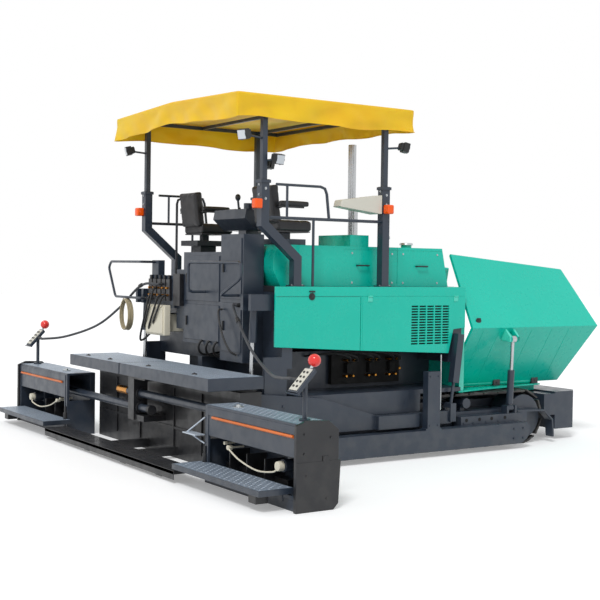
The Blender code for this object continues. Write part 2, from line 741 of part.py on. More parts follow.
def canopy_frame(mat, parent):
    """Thin posts that slide in the lower ones, the roof's frame and the work lamps."""
    half = THIN_POST / 2
    top = CANOPY_EDGE_Z - CLOTH_T - GAP
    x0, x1 = CANOPY_X[0] + CLOTH_T + GAP, CANOPY_X[1] - CLOTH_T - GAP
    shapes = []
    for _, s in SIDES:
        py = POST_Y * s
        for x in (REAR_POST_X, FRONT_POST_X):
            shapes.append(box((x - half, x + half), (py - half, py + half), (THIN_POST_FOOT, top - 0.018)))
        shapes.append(box((x0, x1), (s * (POST_Y - 0.02), s * (POST_Y + 0.02)), (top - 0.04, top)))
    shapes.append(box((x0, x0 + 0.036), (-POST_Y - 0.02, POST_Y + 0.02), (top - 0.038, top - 0.002)))
    shapes.append(box((x1 - 0.036, x1), (-POST_Y - 0.02, POST_Y + 0.02), (top - 0.038, top - 0.002)))
    for x in (REAR_POST_X, -1.05, FRONT_POST_X):
        shapes.append(box((x - 0.018, x + 0.018), (-POST_Y, POST_Y), (top - 0.037, top - 0.003)))
    # x and y of each lamp's post, the lamp's own centre, its height, and which way it looks
    lamps = (
        (REAR_POST_X, -POST_Y, (-2.02, -1.33, 3.27), (-1, -0.3)),
        (REAR_POST_X, -POST_Y, (-1.66, -1.38, 3.05), (0.2, -1)),
        (REAR_POST_X, POST_Y, (-1.99, 1.33, 3.31), (-1, 0.3)),
        (FRONT_POST_X, -POST_Y, (-0.06, -1.35, 3.27), (1, -0.3)),
        (FRONT_POST_X, POST_Y, (-0.06, 1.35, 3.27), (1, 0.3)),
    )
    for px, py, (lx, ly, lz), aim in lamps:
        shapes.append(rod((px, py, lz - 0.02), (lx, ly, lz), 0.011, 6))
        face = Vector((*aim, -0.25)).normalized() * 0.04
        shapes.append(rod(Vector((lx, ly, lz)) - face, Vector((lx, ly, lz)) + face, 0.04, 8, 0.055))
    return solid("canopy_frame", shapes, mat, parent=parent)


def canopy_cover(mat, parent):
    """Sheet over the roof frame with its hanging valance, open below."""
    x0, x1 = CANOPY_X
    y = CANOPY_Y
    z = CANOPY_EDGE_Z
    low = z - VALANCE
    roof = [(-y, low), (-y, z), (0, z + CANOPY_CROWN), (y, z), (y, low)]
    t = CLOTH_T
    inside = [(-y + t, low - 0.1), (-y + t, z - t), (0, z + CANOPY_CROWN - t), (y - t, z - t), (y - t, low - 0.1)]
    return solid("canopy_cover", [prism(roof, "x", (x0, x1))], mat, [prism(inside, "x", (x0 + t, x1 - t))], parent)


def exhaust_stack(mat):
    x, y = -0.12, -0.52
    shapes = [
        rod((x, y, HOOD_Z + GAP), (x, y, 2.72), 0.055, 16),
        rod((x - 0.02, y, 2.70), (x - 0.02, y, 3.36), 0.045, 16),
    ]
    return solid("exhaust_stack", shapes, mat, [rod((x - 0.02, y, 2.80), (x - 0.02, y, 3.5), 0.038, 16)])


def air_duct(mat):
    """Pale tapered duct fixed to the right front post."""
    x = FRONT_POST_X - POST / 2 - GAP
    back = [(x - 0.52, -1.30, 2.62), (x - 0.52, -1.16, 2.62), (x - 0.50, -1.16, 2.69), (x - 0.50, -1.30, 2.69)]
    front = [(x, -1.33, 2.56), (x, -1.12, 2.56), (x, -1.12, 2.76), (x, -1.33, 2.76)]
    return finish_object("air_duct", loft(back, front), mat)


# Hopper ------------------------------------------------------------------------------------------

def hopper(mat):
    """Rear wall with its two conveyor mouths, the floor and the ledges under the wings."""
    wall = (BODY_X + GAP, 0.845)
    x1 = PUSH_X[0] - 0.01
    z0, z1 = FLOOR_Z
    ledge_z = (TRACK_TOP + 0.008, WING_HINGE[1] - HINGE_R - PIN_GAP)
    shapes = [
        box(wall, (-0.96, 0.96), (z0, 1.355)),
        box(wall, (-1.14, 1.14), (1.35, 1.795)),
        box((wall[0], x1), (-0.96, 0.96), (z0, z1)),
        box((0.80, x1), (-0.02, 0.02), (z1 - 0.01, z1 + 0.05)),
    ]
    for _, s in SIDES:
        ledge = [(0.80, 0.93 * s), (0.80, 1.32 * s), (1.30, 1.22 * s), (x1, 1.06 * s), (x1, 0.93 * s)]
        shapes.append(prism(ledge, "z", ledge_z))
        shapes.append(box((0.80, x1), (0.93 * s, 0.96 * s), (z0, ledge_z[1])))
        shapes.append(box(wall, (0.95 * s, 1.32 * s), (ledge_z[0], 1.355)))
    cuts = [box((0.80, 0.86), (s * 0.10, s * 0.74), (z1, 1.05)) for _, s in SIDES]
    return solid("hopper", shapes, mat, cuts)


def wing_section(x, rim_z, s):
    """The wing's section at x: a lower panel that leans out and an upper one that leans back in."""
    path = [WING_HINGE, WING_KINK, (WING_RIM[0], rim_z)]
    return [(x, a * s, b) for a, b in ribbon(path, WING_T)]


def hopper_wing(name, s, mat, parent):
    rear_x, front_x = HOPPER_X
    rear = wing_section(rear_x, WING_RIM[1][0], s)
    front = wing_section(front_x, WING_RIM[1][1], s)
    # the front edge leans forward at the fold
    for i in (1, 4):
        front[i] = (KINK_X, *front[i][1:])
    hy, hz = WING_HINGE
    ey, ez = WING_EYE
    shapes = [
        loft(rear, front),
        rod((rear_x + 0.01, hy * s, hz), (PUSH_X[0] - 0.02, hy * s, hz), HINGE_R),
    ]
    for x in (WING_CYL_X - 0.065, WING_CYL_X + 0.04):
        ear = [((ey + 0.04) * s, ez - 0.03), ((ey + 0.04) * s, ez + 0.03), (1.40 * s, 1.34), (1.32 * s, 1.20)]
        shapes.append(prism(ear, "x", (x, x + 0.025)))
    shapes.append(rod((WING_CYL_X - 0.05, ey * s, ez), (WING_CYL_X + 0.05, ey * s, ez), EYE_PIN_R))
    return solid(name, shapes, mat, parent=parent)


def cylinder_barrel(name, foot, head, length, mat, across, parent):
    """A hydraulic barrel from its foot's eye towards the head, bored for the rod."""
    foot, head = Vector(foot), Vector(head)
    along = (head - foot).normalized()
    side = Vector(across)
    width = 0.040
    shapes = [
        rod(foot + along * 0.05, foot + along * length, CYL_R),
        rod(foot - side * width, foot + side * width, 0.036),
        rod(foot + along * 0.024, foot + along * 0.06, 0.030, 8),
    ]
    cuts = [
        rod(foot + along * 0.075, foot + along * (length + 0.1), ROD_R + SLIDE_GAP),
        rod(foot - side * 0.1, foot + side * 0.1, CYL_PIN_R + 2 * PIN_GAP),
    ]
    return solid(name, shapes, mat, cuts, parent, foot)


def cylinder_rod(name, head, foot, length, mat, across, parent):
    """A chromed rod with its eye at the head end, bored wider than its pin."""
    foot, head = Vector(foot), Vector(head)
    along = (foot - head).normalized()
    side = Vector(across)
    shapes = [
        rod(head + along * 0.030, head + along * length, ROD_R),
        rod(head - side * 0.032, head + side * 0.032, EYE_R),
    ]
    cuts = [rod(head - side * 0.1, head + side * 0.1, EYE_PIN_R + EYE_PLAY)]
    return solid(name, shapes, mat, cuts, parent)


def push_beam(mat):
    """Front cross beam with the ears of its two rollers."""
    x0, x1 = PUSH_X
    z0, z1 = PUSH_Z
    c = 0.10
    outline = [(x0 + GAP, -PUSH_Y), (x1 - c, -PUSH_Y), (x1, -PUSH_Y + c), (x1, PUSH_Y - c), (x1 - c, PUSH_Y),
               (x0 + GAP, PUSH_Y)]
    shapes = [prism(outline, "z", (z0, z1))]
    for _, s in SIDES:
        shapes.append(box((x0 - 0.18, x0 + 0.03), (0.98 * s, PUSH_Y * s), (0.30, z1 - 0.02)))
        for y in (ROLLER_Y[0] - 0.04, ROLLER_Y[1] + 0.012):
            ear = [(x1 - 0.02, ROLLER_Z - 0.08), (2.84, ROLLER_Z - 0.04), (2.84, ROLLER_Z + 0.04),
                   (x1 - 0.02, ROLLER_Z + 0.08)]
            shapes.append(prism(ear, "y", (y * s, (y + 0.028) * s)))
    x = FRONT_X - ROLLER_R
    cuts = [rod((x, -1.0, ROLLER_Z), (x, 1.0, ROLLER_Z), ROLLER_PIN_R + SLIDE_GAP)]
    return solid("push_beam", shapes, mat, cuts)


def push_roller(name, s, mat):
    x = FRONT_X - ROLLER_R
    y0, y1 = ROLLER_Y
    shapes = [
        rod((x, y0 * s, ROLLER_Z), (x, y1 * s, ROLLER_Z), ROLLER_R, 20),
        rod((x, (y0 - 0.035) * s, ROLLER_Z), (x, (y1 + 0.035) * s, ROLLER_Z), ROLLER_PIN_R),
    ]
    return solid(name, shapes, mat, joint_at=(x, 0, ROLLER_Z))


def auger(name, s, mat):
    """Screw conveyor: a helical flight round its shaft."""
    y0, y1 = AUGER_Y
    steps = 10 * AUGER_TURNS
    bm = bmesh.new()
    rings = []
    start, end = y0 + 0.05, y1 - 0.06
    for i in range(steps + 1):
        angle = math.tau * AUGER_TURNS * i / steps
        y = start + (end - start) * i / steps
        out = Vector((math.cos(angle) * s, 0, math.sin(angle)))
        rings.append(
            [
                bm.verts.new(Vector((AUGER_X, (y + dy) * s, AUGER_Z)) + out * r)
                for r, dy in (
                    (AUGER_CORE_R - 0.012, -FLIGHT_T / 2),
                    (AUGER_R, -FLIGHT_T / 3),
                    (AUGER_R, FLIGHT_T / 3),
                    (AUGER_CORE_R - 0.012, FLIGHT_T / 2),
                )
            ]
        )
    bm.faces.new(rings[0])
    bm.faces.new(rings[-1])
    for a, b in zip(rings, rings[1:]):
        for k in range(4):
            j = (k + 1) % 4
            bm.faces.new((a[k], a[j], b[j], b[k]))
    bmesh.ops.triangulate(bm, faces=bm.faces)
    flight = closed_mesh(bm)
    shaft = rod((AUGER_X, y0 * s, AUGER_Z), (AUGER_X, y1 * s, AUGER_Z), AUGER_CORE_R, 10)
    return solid(name, [shaft, flight], mat, joint_at=(AUGER_X, 0, AUGER_Z))


# Screed ------------------------------------------------------------------------------------------

def tow_arm(name, s, mat, parent):
    """Arm from the screed to the levelling cylinder's pin, deep at the rear and tapered forward."""
    x, z = TOW_PIVOT
    low = 0.32
    end = SCREED_X[1] + GAP
    outline = [(end, low), (x - 0.02, low), (x + 0.05, z - 0.04), (x + 0.06, z), (x + 0.05, z + 0.04),
               (x - 0.02, 0.46), (-0.44, 0.46), (-1.15, 0.68), (end, 0.76)]
    shapes = [
        prism(outline, "y", (ARM_Y[0] * s, ARM_Y[1] * s)),
        box((-0.46, 0.08), (ARM_Y[0] * s, 1.50 * s), (low, 0.46)),
        box((end, -1.30), (ARM_Y[0] * s, 1.50 * s), (low, low + 0.04)),
    ]
    cuts = [rod((x, 1.30 * s, z), (x, 1.60 * s, z), TOW_PIN_R + SLIDE_GAP, 16)]
    return solid(name, shapes, mat, cuts, parent)


def screed_body(mat, parent):
    """Main screed: its box, the tubes' bracket, the lifting ears and the rear walkway."""
    x0, x1 = SCREED_X
    y = SCREED_Y
    z0, z1 = SCREED_Z
    under = COVER_Z - COVER_T - GAP
    bracket = (0.10, 0.24)
    shapes = [
        box((x0, x1), (-y, y), (z0, z1)),
        box((x0, x1 - 0.05), (-1.36, 1.36), (z1 - 0.02, under)),
        box((-2.50, x0 + 0.02), (-0.20, 0.20), (0.80, under)),
        box((TUBE_X - 0.08, TUBE_X + 0.08), bracket, (0.36, 0.82)),
        box((TUBE_X - 0.08, x0 + 0.02), bracket, (0.76, 0.86)),
        box((TUBE_X - 0.06, x0 + 0.02), (-0.10, 0.24), (0.36, 0.42)),
        box(WALK_X, (-1.60, 1.60), WALK_Z),
        box((WALK_X[1] - 0.02, x0 + 0.01), (-0.36, -0.30), (0.03, WALK_Z[1] - 0.002)),
        box((WALK_X[1] - 0.02, x0 + 0.01), (0.30, 0.36), (0.03, WALK_Z[1] - 0.002)),
    ]
    for _, s in SIDES:
        shapes.append(box((x1 - 0.01, LIFT_EYE[0] + 0.03), (1.13 * s, 1.16 * s), (0.70, LIFT_EYE[1] + 0.03)))
        shapes.append(box((x1 - 0.01, LIFT_EYE[0] + 0.03), (1.24 * s, 1.27 * s), (0.70, LIFT_EYE[1] + 0.03)))
        shapes.append(box((x1 - 0.03, x1 + 0.05), (1.13 * s, 1.27 * s), (0.70, 0.78)))
        shapes.append(rod((LIFT_EYE[0], 1.14 * s, LIFT_EYE[1]), (LIFT_EYE[0], 1.26 * s, LIFT_EYE[1]), EYE_PIN_R))
    cuts = [rod((TUBE_X, -0.2, z), (TUBE_X, 0.4, z), TUBE_R + SLIDE_GAP, 16) for z in TUBE_Z.values()]
    return solid("screed_body", shapes, mat, cuts, parent)


def screed_cover(mat, parent):
    """Tread-plate cover with its folded skirt."""
    x0, x1 = COVER_X
    y = COVER_Y
    top = COVER_Z
    low = top - COVER_T
    shapes = [
        box((x0, x1), (-y, y), (low, top)),
        box((x0, x0 + 0.02), (-y, y), (top - SKIRT, top - 0.01)),
    ]
    for _, s in SIDES:
        shapes.append(box((x0, x1), (y * s, (y - 0.02) * s), (top - SKIRT, top - 0.01)))
    return solid("screed_cover", shapes, mat, parent=parent)


def extension(name, s, mat, parent):
    """Sliding extension: a box open behind and at its inner end, its step and its telescopic tube."""
    x0, x1 = EXT_X
    y0, y1 = EXT_Y
    z = EXT_Z
    y = (y0 * s, y1 * s)
    tube_z = TUBE_Z[name.split("_")[1]]
    tube_end = TUBE_END_Y[name.split("_")[1]]
    shapes = [
        box((x0, x1), y, (z - 0.02, z)),
        box((x0, x0 + 0.02), y, (0.44, z - 0.01)),
        box((x1 - 0.05, x1), y, (0.0, z - 0.01)),
        box((x0, x1), y, (0.0, 0.09)),
        box((x0, x1), ((y1 - 0.03) * s, y1 * s), (0.0, z - 0.01)),
        box((x0, x0 + 0.03), (y0 * s, (y0 + 0.03) * s), (0.0, z - 0.01)),
        box((x1 - 0.06, x1), (y0 * s, (y0 + 0.03) * s), (0.0, z - 0.01)),
        box((x0, x1), (y0 * s, (y0 + 0.03) * s), (0.0, 0.40)),
        rod((TUBE_X, (y1 - 0.01) * s, tube_z), (TUBE_X, tube_end * s, tube_z), TUBE_R, 16),
        box(STEP_X, (1.60 * s, 3.12 * s), STEP_Z),
        box((STEP_X[1] - 0.04, x0 + 0.02), (1.72 * s, 1.80 * s), (0.06, STEP_Z[1] - 0.01)),
        box((STEP_X[1] - 0.04, x0 + 0.02), (2.92 * s, 3.00 * s), (0.06, STEP_Z[1] - 0.01)),
        rod((-2.52, 2.88 * s, 0.33), (-2.40, 2.88 * s, 0.33), 0.055),
        box((-2.42, x1 - 0.02), (2.80 * s, 2.96 * s), (0.27, 0.39)),
    ]
    return solid(name, shapes, mat, parent=parent)


def end_gate(name, s, mat, parent):
    """End plate in two leaves: an upper one with its top corner cut off and a lower gate."""
    x0, x1 = GATE_X
    z = GATE_Z
    y = ((EXT_Y[1] + GAP) * s, (EXT_Y[1] + GATE_T) * s)
    upper = [(x0, 0.40), (x0, z - 0.04), (x0 + 0.10, z), (x1 - 0.10, z - 0.01), (x1, z - 0.09), (x1, 0.40)]
    lower = [(x0, 0.0), (x1 - 0.05, 0.0), (x1, 0.05), (x1 + 0.02, 0.41), (x0, 0.41)]
    return solid(name, [prism(upper, "y", y), prism(lower, "y", (y[0], y[1] + 0.005 * s))], mat, parent=parent)


def control_stand(name, s, mat, parent):
    """Remote control: a pole, its tilted panel and a ball-topped handle."""
    y = 3.05 * s
    x = -2.42
    foot = EXT_Z + GAP
    shapes = [
        rod((x, y, foot), (x, y, 1.06), 0.018, 8),
        rod((x, y, foot), (x, y, foot + 0.012), 0.045),
        prism([(x - 0.13, 0.97), (x - 0.11, 0.94), (x + 0.07, 1.13), (x + 0.05, 1.16)], "y", (y - 0.07, y + 0.07)),
        rod((x + 0.05, y, 1.14), (x + 0.08, y, 1.20), 0.012, 6),
        ball((x + 0.09, y, 1.22), 0.055, 6, 10),
    ]
    return solid(name, shapes, mat, parent=parent)


def cord(name, points, radius, count, mat):
    """A cable as a curve with a round bevel and closed ends."""
    curve = bpy.data.curves.new(name, "CURVE")
    curve.dimensions = "3D"
    curve.bevel_depth = radius
    curve.bevel_resolution = 2
    curve.use_fill_caps = True
    curve.resolution_u = 1
    curve.render_resolution_u = 0
    spline = curve.splines.new("POLY")
    route = smooth_route(points, count)
    spline.points.add(len(route) - 1)
    for point, place in zip(spline.points, route):
        point.co = (*place, 1.0)
    obj = bpy.data.objects.new(name, curve)
    bpy.context.scene.collection.objects.link(obj)
    curve.materials.append(mat)
    return obj


def cable_coil(mat):
    """Spare cable hung under the left guard bar, as one ring."""
    bm = bmesh.new()
    sides, steps = 6, 20
    cable_r, height, width = 0.014, 0.17, 0.12
    bar_under = GUARD_Z - GUARD_R * math.cos(math.pi / 6)
    centre = Vector((GUARD_X, 1.30, bar_under - GAP - height - cable_r))
    across = Vector((1, 0, 0))
    rings = []
    for i in range(steps):
        a = math.tau * i / steps
        place = centre + Vector((0, math.cos(a) * width, math.sin(a) * height))
        out = Vector((0, math.cos(a) * height, math.sin(a) * width)).normalized()
        turns = [math.tau * k / sides for k in range(sides)]
        rings.append(
            [bm.verts.new(place + (out * math.cos(b) + across * math.sin(b)) * cable_r) for b in turns]
        )
    for i in range(steps):
        a, b = rings[i], rings[(i + 1) % steps]
        for k in range(sides):
            j = (k + 1) % sides
            bm.faces.new((a[k], a[j], b[j], b[k]))
    return finish_object("cable_coil", closed_mesh(bm), mat)


def main():
    clear_scene()
    slate = material("slate_paint", (0.045, 0.06, 0.085), 0.45)
    teal = material("teal_paint", (0.0, 0.55, 0.42), 0.35)
    steel = material("worn_steel", (0.3, 0.34, 0.38), 0.4, 0.9)
    chrome = material("chrome", (0.8, 0.8, 0.82), 0.12, 1.0)
    black = material("black_paint", (0.02, 0.02, 0.022), 0.4)
    rubber = material("track_steel", (0.03, 0.03, 0.03), 0.7)
    vinyl = material("seat_vinyl", (0.015, 0.015, 0.016), 0.5)
    cloth = material("canopy_fabric", (1.0, 0.62, 0.01), 0.7)
    pale = material("pale_paint", (0.62, 0.63, 0.6), 0.5)
    tread = material("tread_plate", (0.22, 0.27, 0.32), 0.45, 0.6)
    cable = material("cable_sheath", (0.05, 0.055, 0.06), 0.6)

    main_frame(slate)
    engine_block(black)
    engine_hood(teal)
    platform(tread)
    seat_mount(slate)
    control_console(slate)
    rear_cabinet(slate)
    electrical_box(pale)
    exhaust_stack(chrome)
    air_duct(pale)
    hopper(teal)
    push_beam(slate)
    cable_coil(pale)

    canopy = axis_empty("canopy_axis", (0, 0, POST_TOP))
    canopy_frame(slate, canopy)
    canopy_cover(cloth, canopy)

    screed = axis_empty("screed_axis", (TOW_PIVOT[0], 0, TOW_PIVOT[1]))
    screed_body(black, screed)
    screed_cover(tread, screed)

    for side, s in SIDES:
        track(f"track_{side}", s, rubber)
        track_frame(f"track_frame_{side}", s, slate)
        side_beam(f"side_beam_{side}", s, slate)
        levelling_cylinder(f"levelling_cylinder_{side}", s, slate)
        side_panel(f"side_panel_{side}", s, teal)
        side_door(f"side_door_{side}", s, teal)
        post_frame(f"post_frame_{side}", s, slate)
        seat(f"seat_{side}", s, vinyl)
        push_roller(f"push_roller_{side}", s, steel)
        auger(f"auger_{side}", s, steel)

        wing = axis_empty(f"wing_axis_{side}", (0, WING_HINGE[0] * s, WING_HINGE[1]))
        hopper_wing(f"hopper_wing_{side}", s, teal, wing)
        foot = (WING_CYL_X, WING_CYL_FOOT[0] * s, WING_CYL_FOOT[1])
        eye = (WING_CYL_X, WING_EYE[0] * s, WING_EYE[1])
        barrel_axis = axis_empty(f"wing_cylinder_axis_{side}", foot)
        cylinder_barrel(f"wing_cylinder_{side}", foot, eye, WING_BARREL, slate, (1, 0, 0), barrel_axis)
        cylinder_rod(f"wing_rod_{side}", eye, foot, WING_ROD, chrome, (1, 0, 0), barrel_axis)

        head = (LIFT_HEAD[0], LIFT_Y * s, LIFT_HEAD[1])
        screed_eye = (LIFT_EYE[0], LIFT_Y * s, LIFT_EYE[1])
        lift_axis = axis_empty(f"lift_cylinder_axis_{side}", head)
        cylinder_barrel(f"lift_cylinder_{side}", head, screed_eye, LIFT_BARREL, slate, (0, 1, 0), lift_axis)
        cylinder_rod(f"lift_rod_{side}", screed_eye, head, LIFT_ROD, chrome, (0, 1, 0), lift_axis)

        tow_arm(f"tow_arm_{side}", s, slate, screed)
        slide = axis_empty(f"extension_axis_{side}", (TUBE_X, EXT_Y[1] * s, EXT_Z), screed)
        extension(f"extension_{side}", s, slate, slide)
        end_gate(f"end_gate_{side}", s, black, slide)
        control_stand(f"control_stand_{side}", s, pale, slide)

    for side, route in CABLES.items():
        cord(f"control_cable_{side}", route, CABLE_R, CABLE_POINTS, cable)


main()
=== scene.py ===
import json
import math
import random

import bmesh
import bpy
from mathutils import Matrix, Vector, noise

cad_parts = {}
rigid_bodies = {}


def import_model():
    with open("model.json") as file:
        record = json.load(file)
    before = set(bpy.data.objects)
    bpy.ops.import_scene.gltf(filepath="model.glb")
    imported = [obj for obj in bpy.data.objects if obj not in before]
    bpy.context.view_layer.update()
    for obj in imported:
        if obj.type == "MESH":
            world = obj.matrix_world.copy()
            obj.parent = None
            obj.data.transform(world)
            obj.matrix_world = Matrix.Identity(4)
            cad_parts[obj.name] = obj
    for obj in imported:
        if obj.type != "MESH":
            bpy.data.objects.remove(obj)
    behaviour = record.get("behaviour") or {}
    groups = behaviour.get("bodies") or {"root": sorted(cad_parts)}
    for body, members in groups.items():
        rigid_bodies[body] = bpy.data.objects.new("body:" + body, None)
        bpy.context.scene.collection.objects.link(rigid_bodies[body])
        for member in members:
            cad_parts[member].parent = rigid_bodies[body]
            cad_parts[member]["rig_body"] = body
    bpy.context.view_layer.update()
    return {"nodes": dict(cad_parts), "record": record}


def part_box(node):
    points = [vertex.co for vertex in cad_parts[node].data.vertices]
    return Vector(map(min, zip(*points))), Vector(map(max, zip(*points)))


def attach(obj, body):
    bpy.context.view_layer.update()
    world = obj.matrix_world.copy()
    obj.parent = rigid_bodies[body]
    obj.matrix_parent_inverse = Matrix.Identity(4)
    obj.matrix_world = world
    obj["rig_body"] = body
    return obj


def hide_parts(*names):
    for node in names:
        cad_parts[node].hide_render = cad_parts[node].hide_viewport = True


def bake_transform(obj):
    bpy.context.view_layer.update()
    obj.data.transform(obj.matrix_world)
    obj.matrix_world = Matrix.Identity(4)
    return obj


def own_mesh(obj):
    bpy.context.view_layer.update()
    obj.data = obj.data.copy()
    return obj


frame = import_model()
nodes = frame["nodes"]

SIDES = (("left", 1), ("right", -1))
SIDE_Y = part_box("side_door_left")[1].y  # outer face of the side panels
SEAM_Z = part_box("side_door_left")[1].z  # top of the doors
DECK_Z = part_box("platform")[0].z + 0.06
HOOD_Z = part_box("engine_hood")[1].z - 0.12
COVER_LOW, COVER_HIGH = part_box("screed_cover")
EXT_Y = (1.66, 3.20)
EXT_X = (-2.59, -2.24)
EXT_Z = 0.72
POST_Y = 1.29
POST_X = (-1.77, -0.28)
CANOPY_BARS = (-2.08, POST_X[0], -1.05, POST_X[1], -0.01)  # where bars cross under the cloth
PROUD = 0.0015  # how far a fitting stands off the face that it lies on


# Camera ------------------------------------------------------------------------------------------

def make_camera():
    """The camera at the photographer's place, turned by its azimuth, pitch and roll."""
    azimuth, pitch, roll = (math.radians(a) for a in (-33.466, -1.608, 0.823))
    forward = Vector((-math.sin(azimuth) * math.cos(pitch), math.cos(azimuth) * math.cos(pitch), math.sin(pitch)))
    right = Vector((math.cos(azimuth), math.sin(azimuth), 0))
    up = right.cross(forward)
    turned_right = right * math.cos(roll) + up * math.sin(roll)
    turned_up = up * math.cos(roll) - right * math.sin(roll)
    camera = bpy.data.objects.new("camera", bpy.data.cameras.new("camera"))
    bpy.context.scene.collection.objects.link(camera)
    camera.data.sensor_width = 36
    camera.data.lens = 69.43
    camera.data.clip_end = 200
    turn = Matrix((turned_right, turned_up, -forward)).transposed()
    camera.matrix_world = Matrix.Translation((-7.729, -10.986, 1.990)) @ turn.to_4x4()
    bpy.context.scene.camera = camera


# Materials ---------------------------------------------------------------------------------------

def srgb(red, green, blue):
    """A display colour of 0 to 255 as linear light."""
    return Vector(
        c / 255 / 12.92 if c < 11 else ((c / 255 + 0.055) / 1.055) ** 2.4 for c in (red, green, blue)
    )


class Look:
    """A Principled material whose sockets are fed by procedural textures in the piece's own space."""

    def __init__(self, name, roughness, metallic=0.0, **sockets):
        self.mat = bpy.data.materials.new("look_" + name)
        self.mat.use_nodes = True
        self.tree = self.mat.node_tree
        self.shader = self.tree.nodes["Principled BSDF"]
        self.shader.inputs["Roughness"].default_value = roughness
        self.shader.inputs["Metallic"].default_value = metallic
        for socket, value in sockets.items():
            self.shader.inputs[socket.replace("_", " ")].default_value = value
        self.place = self.node("TexCoord").outputs["Object"]

    def node(self, kind, settings=(), **inputs):
        node = self.tree.nodes.new("ShaderNode" + kind)
        for key, value in dict(settings).items():
            setattr(node, key, value)
        for name, value in inputs.items():
            self.feed(node.inputs[name.replace("_", " ")], value)
        return node

    def feed(self, socket, value):
        if isinstance(value, bpy.types.NodeSocket):
            self.tree.links.new(value, socket)
        else:
            socket.default_value = value

    def noise(self, scale, detail=3.0):
        return self.node("TexNoise", Vector=self.place, Scale=scale, Detail=detail).outputs["Fac"]

    def ranged(self, value, low, high, to_low=0.0, to_high=1.0):
        node = self.node("MapRange", Value=value, From_Min=low, From_Max=high, To_Min=to_low, To_Max=to_high)
        return node.outputs["Result"]

    def mixed(self, factor, first, second):
        node = self.node("Mix", {"data_type": "RGBA"})
        for index, value in ((0, factor), (6, first), (7, second)):
            if isinstance(value, Vector):
                value = (*value, 1.0)
            self.feed(node.inputs[index], value)
        return node.outputs[2]

    def times(self, first, second):
        node = self.node("Math", {"operation": "MULTIPLY"})
        self.feed(node.inputs[0], first)
        self.feed(node.inputs[1], second)
        return node.outputs[0]

    def color(self, value):
        self.feed(self.shader.inputs["Base Color"], value)

    def roughness(self, texture, low, high):
        self.feed(self.shader.inputs["Roughness"], self.ranged(texture, 0.35, 0.65, low, high))

    def bump(self, height, strength, distance=0.001):
        node = self.node("Bump", Strength=strength, Distance=distance, Height=height)
        self.feed(self.shader.inputs["Normal"], node.outputs["Normal"])

    def height(self, low, high):
        """1 at the height low, falling to 0 at the height high."""
        z = self.node("SeparateXYZ", Vector=self.place).outputs["Z"]
        return self.ranged(z, low, high, 1.0, 0.0)


DUST = srgb(150, 146, 138)


def paint(name, rgb, roughness=0.35, spread=0.06, dust=0.0, grain=0.06, metallic=0.0, **sockets):
    """Sprayed paint: slow shifts of tone, orange peel, and dust that gathers low down."""
    look = Look(name, roughness, metallic, **sockets)
    base = srgb(*rgb)
    tone = look.mixed(look.ranged(look.noise(1.3, 4.0), 0.3, 0.7), base * (1 - spread), base * (1 + spread))
    if dust:
        patches = look.ranged(look.noise(7.0, 6.0), 0.42, 0.75)
        low_down = look.height(0.0, 1.0)
        tone = look.mixed(look.times(look.times(patches, low_down), dust), tone, DUST)
    look.color(tone)
    peel = look.noise(140.0, 2.0)
    look.roughness(look.noise(9.0, 5.0), max(roughness - 0.08, 0.04), roughness + 0.10)
    look.bump(peel, grain, 0.0006)
    return look.mat


def metal(name, rgb, roughness, scratch=30.0, spread=0.12, metallic=1.0, grain=0.08):
    """Bare or plated metal with fine scratches along one way."""
    look = Look(name, roughness, metallic)
    base = srgb(*rgb)
    stretch = look.node("Mapping", Vector=look.place, Scale=(1.0, 0.12, 1.0))
    lines = look.node("TexNoise", Vector=stretch.outputs["Vector"], Scale=scratch * 6, Detail=2.0).outputs["Fac"]
    look.color(look.mixed(look.ranged(look.noise(4.0, 5.0), 0.3, 0.7), base * (1 - spread), base * (1 + spread)))
    look.roughness(lines, roughness * 0.75, roughness * 1.3)
    look.bump(lines, grain, 0.0004)
    return look.mat


def canopy_cloth():
    """Coated cloth: a fine plain weave, a little light coming through, and faint soiling."""
    look = Look("canopy_fabric", 0.62, Subsurface_Weight=0.35, Subsurface_Scale=0.02, Sheen_Weight=0.15)
    look.shader.inputs["Subsurface Radius"].default_value = (1.0, 0.6, 0.1)
    tone = look.mixed(look.ranged(look.noise(1.1, 4.0), 0.3, 0.7), srgb(252, 186, 2), srgb(255, 202, 8))
    soil = look.ranged(look.noise(5.0, 6.0), 0.55, 0.8, 0.0, 0.22)
    look.color(look.mixed(soil, tone, srgb(214, 150, 10)))
    warp = look.node("TexWave", {"bands_direction": "X"}, Vector=look.place, Scale=260.0).outputs["Fac"]
    weft = look.node("TexWave", {"bands_direction": "Y"}, Vector=look.place, Scale=260.0).outputs["Fac"]
    look.bump(look.times(warp, weft), 0.25, 0.0006)
    return look.mat


def vinyl(name, rgb, roughness=0.5):
    """Grained vinyl or rubber."""
    look = Look(name, roughness, Sheen_Weight=0.1)
    base = srgb(*rgb)
    look.color(look.mixed(look.ranged(look.noise(6.0, 4.0), 0.3, 0.7), base * 0.85, base * 1.25))
    cells = look.node("TexVoronoi", Vector=look.place, Scale=420.0).outputs["Distance"]
    look.roughness(look.noise(12.0, 4.0), roughness - 0.06, roughness + 0.08)
    look.bump(cells, 0.3, 0.0006)
    return look.mat


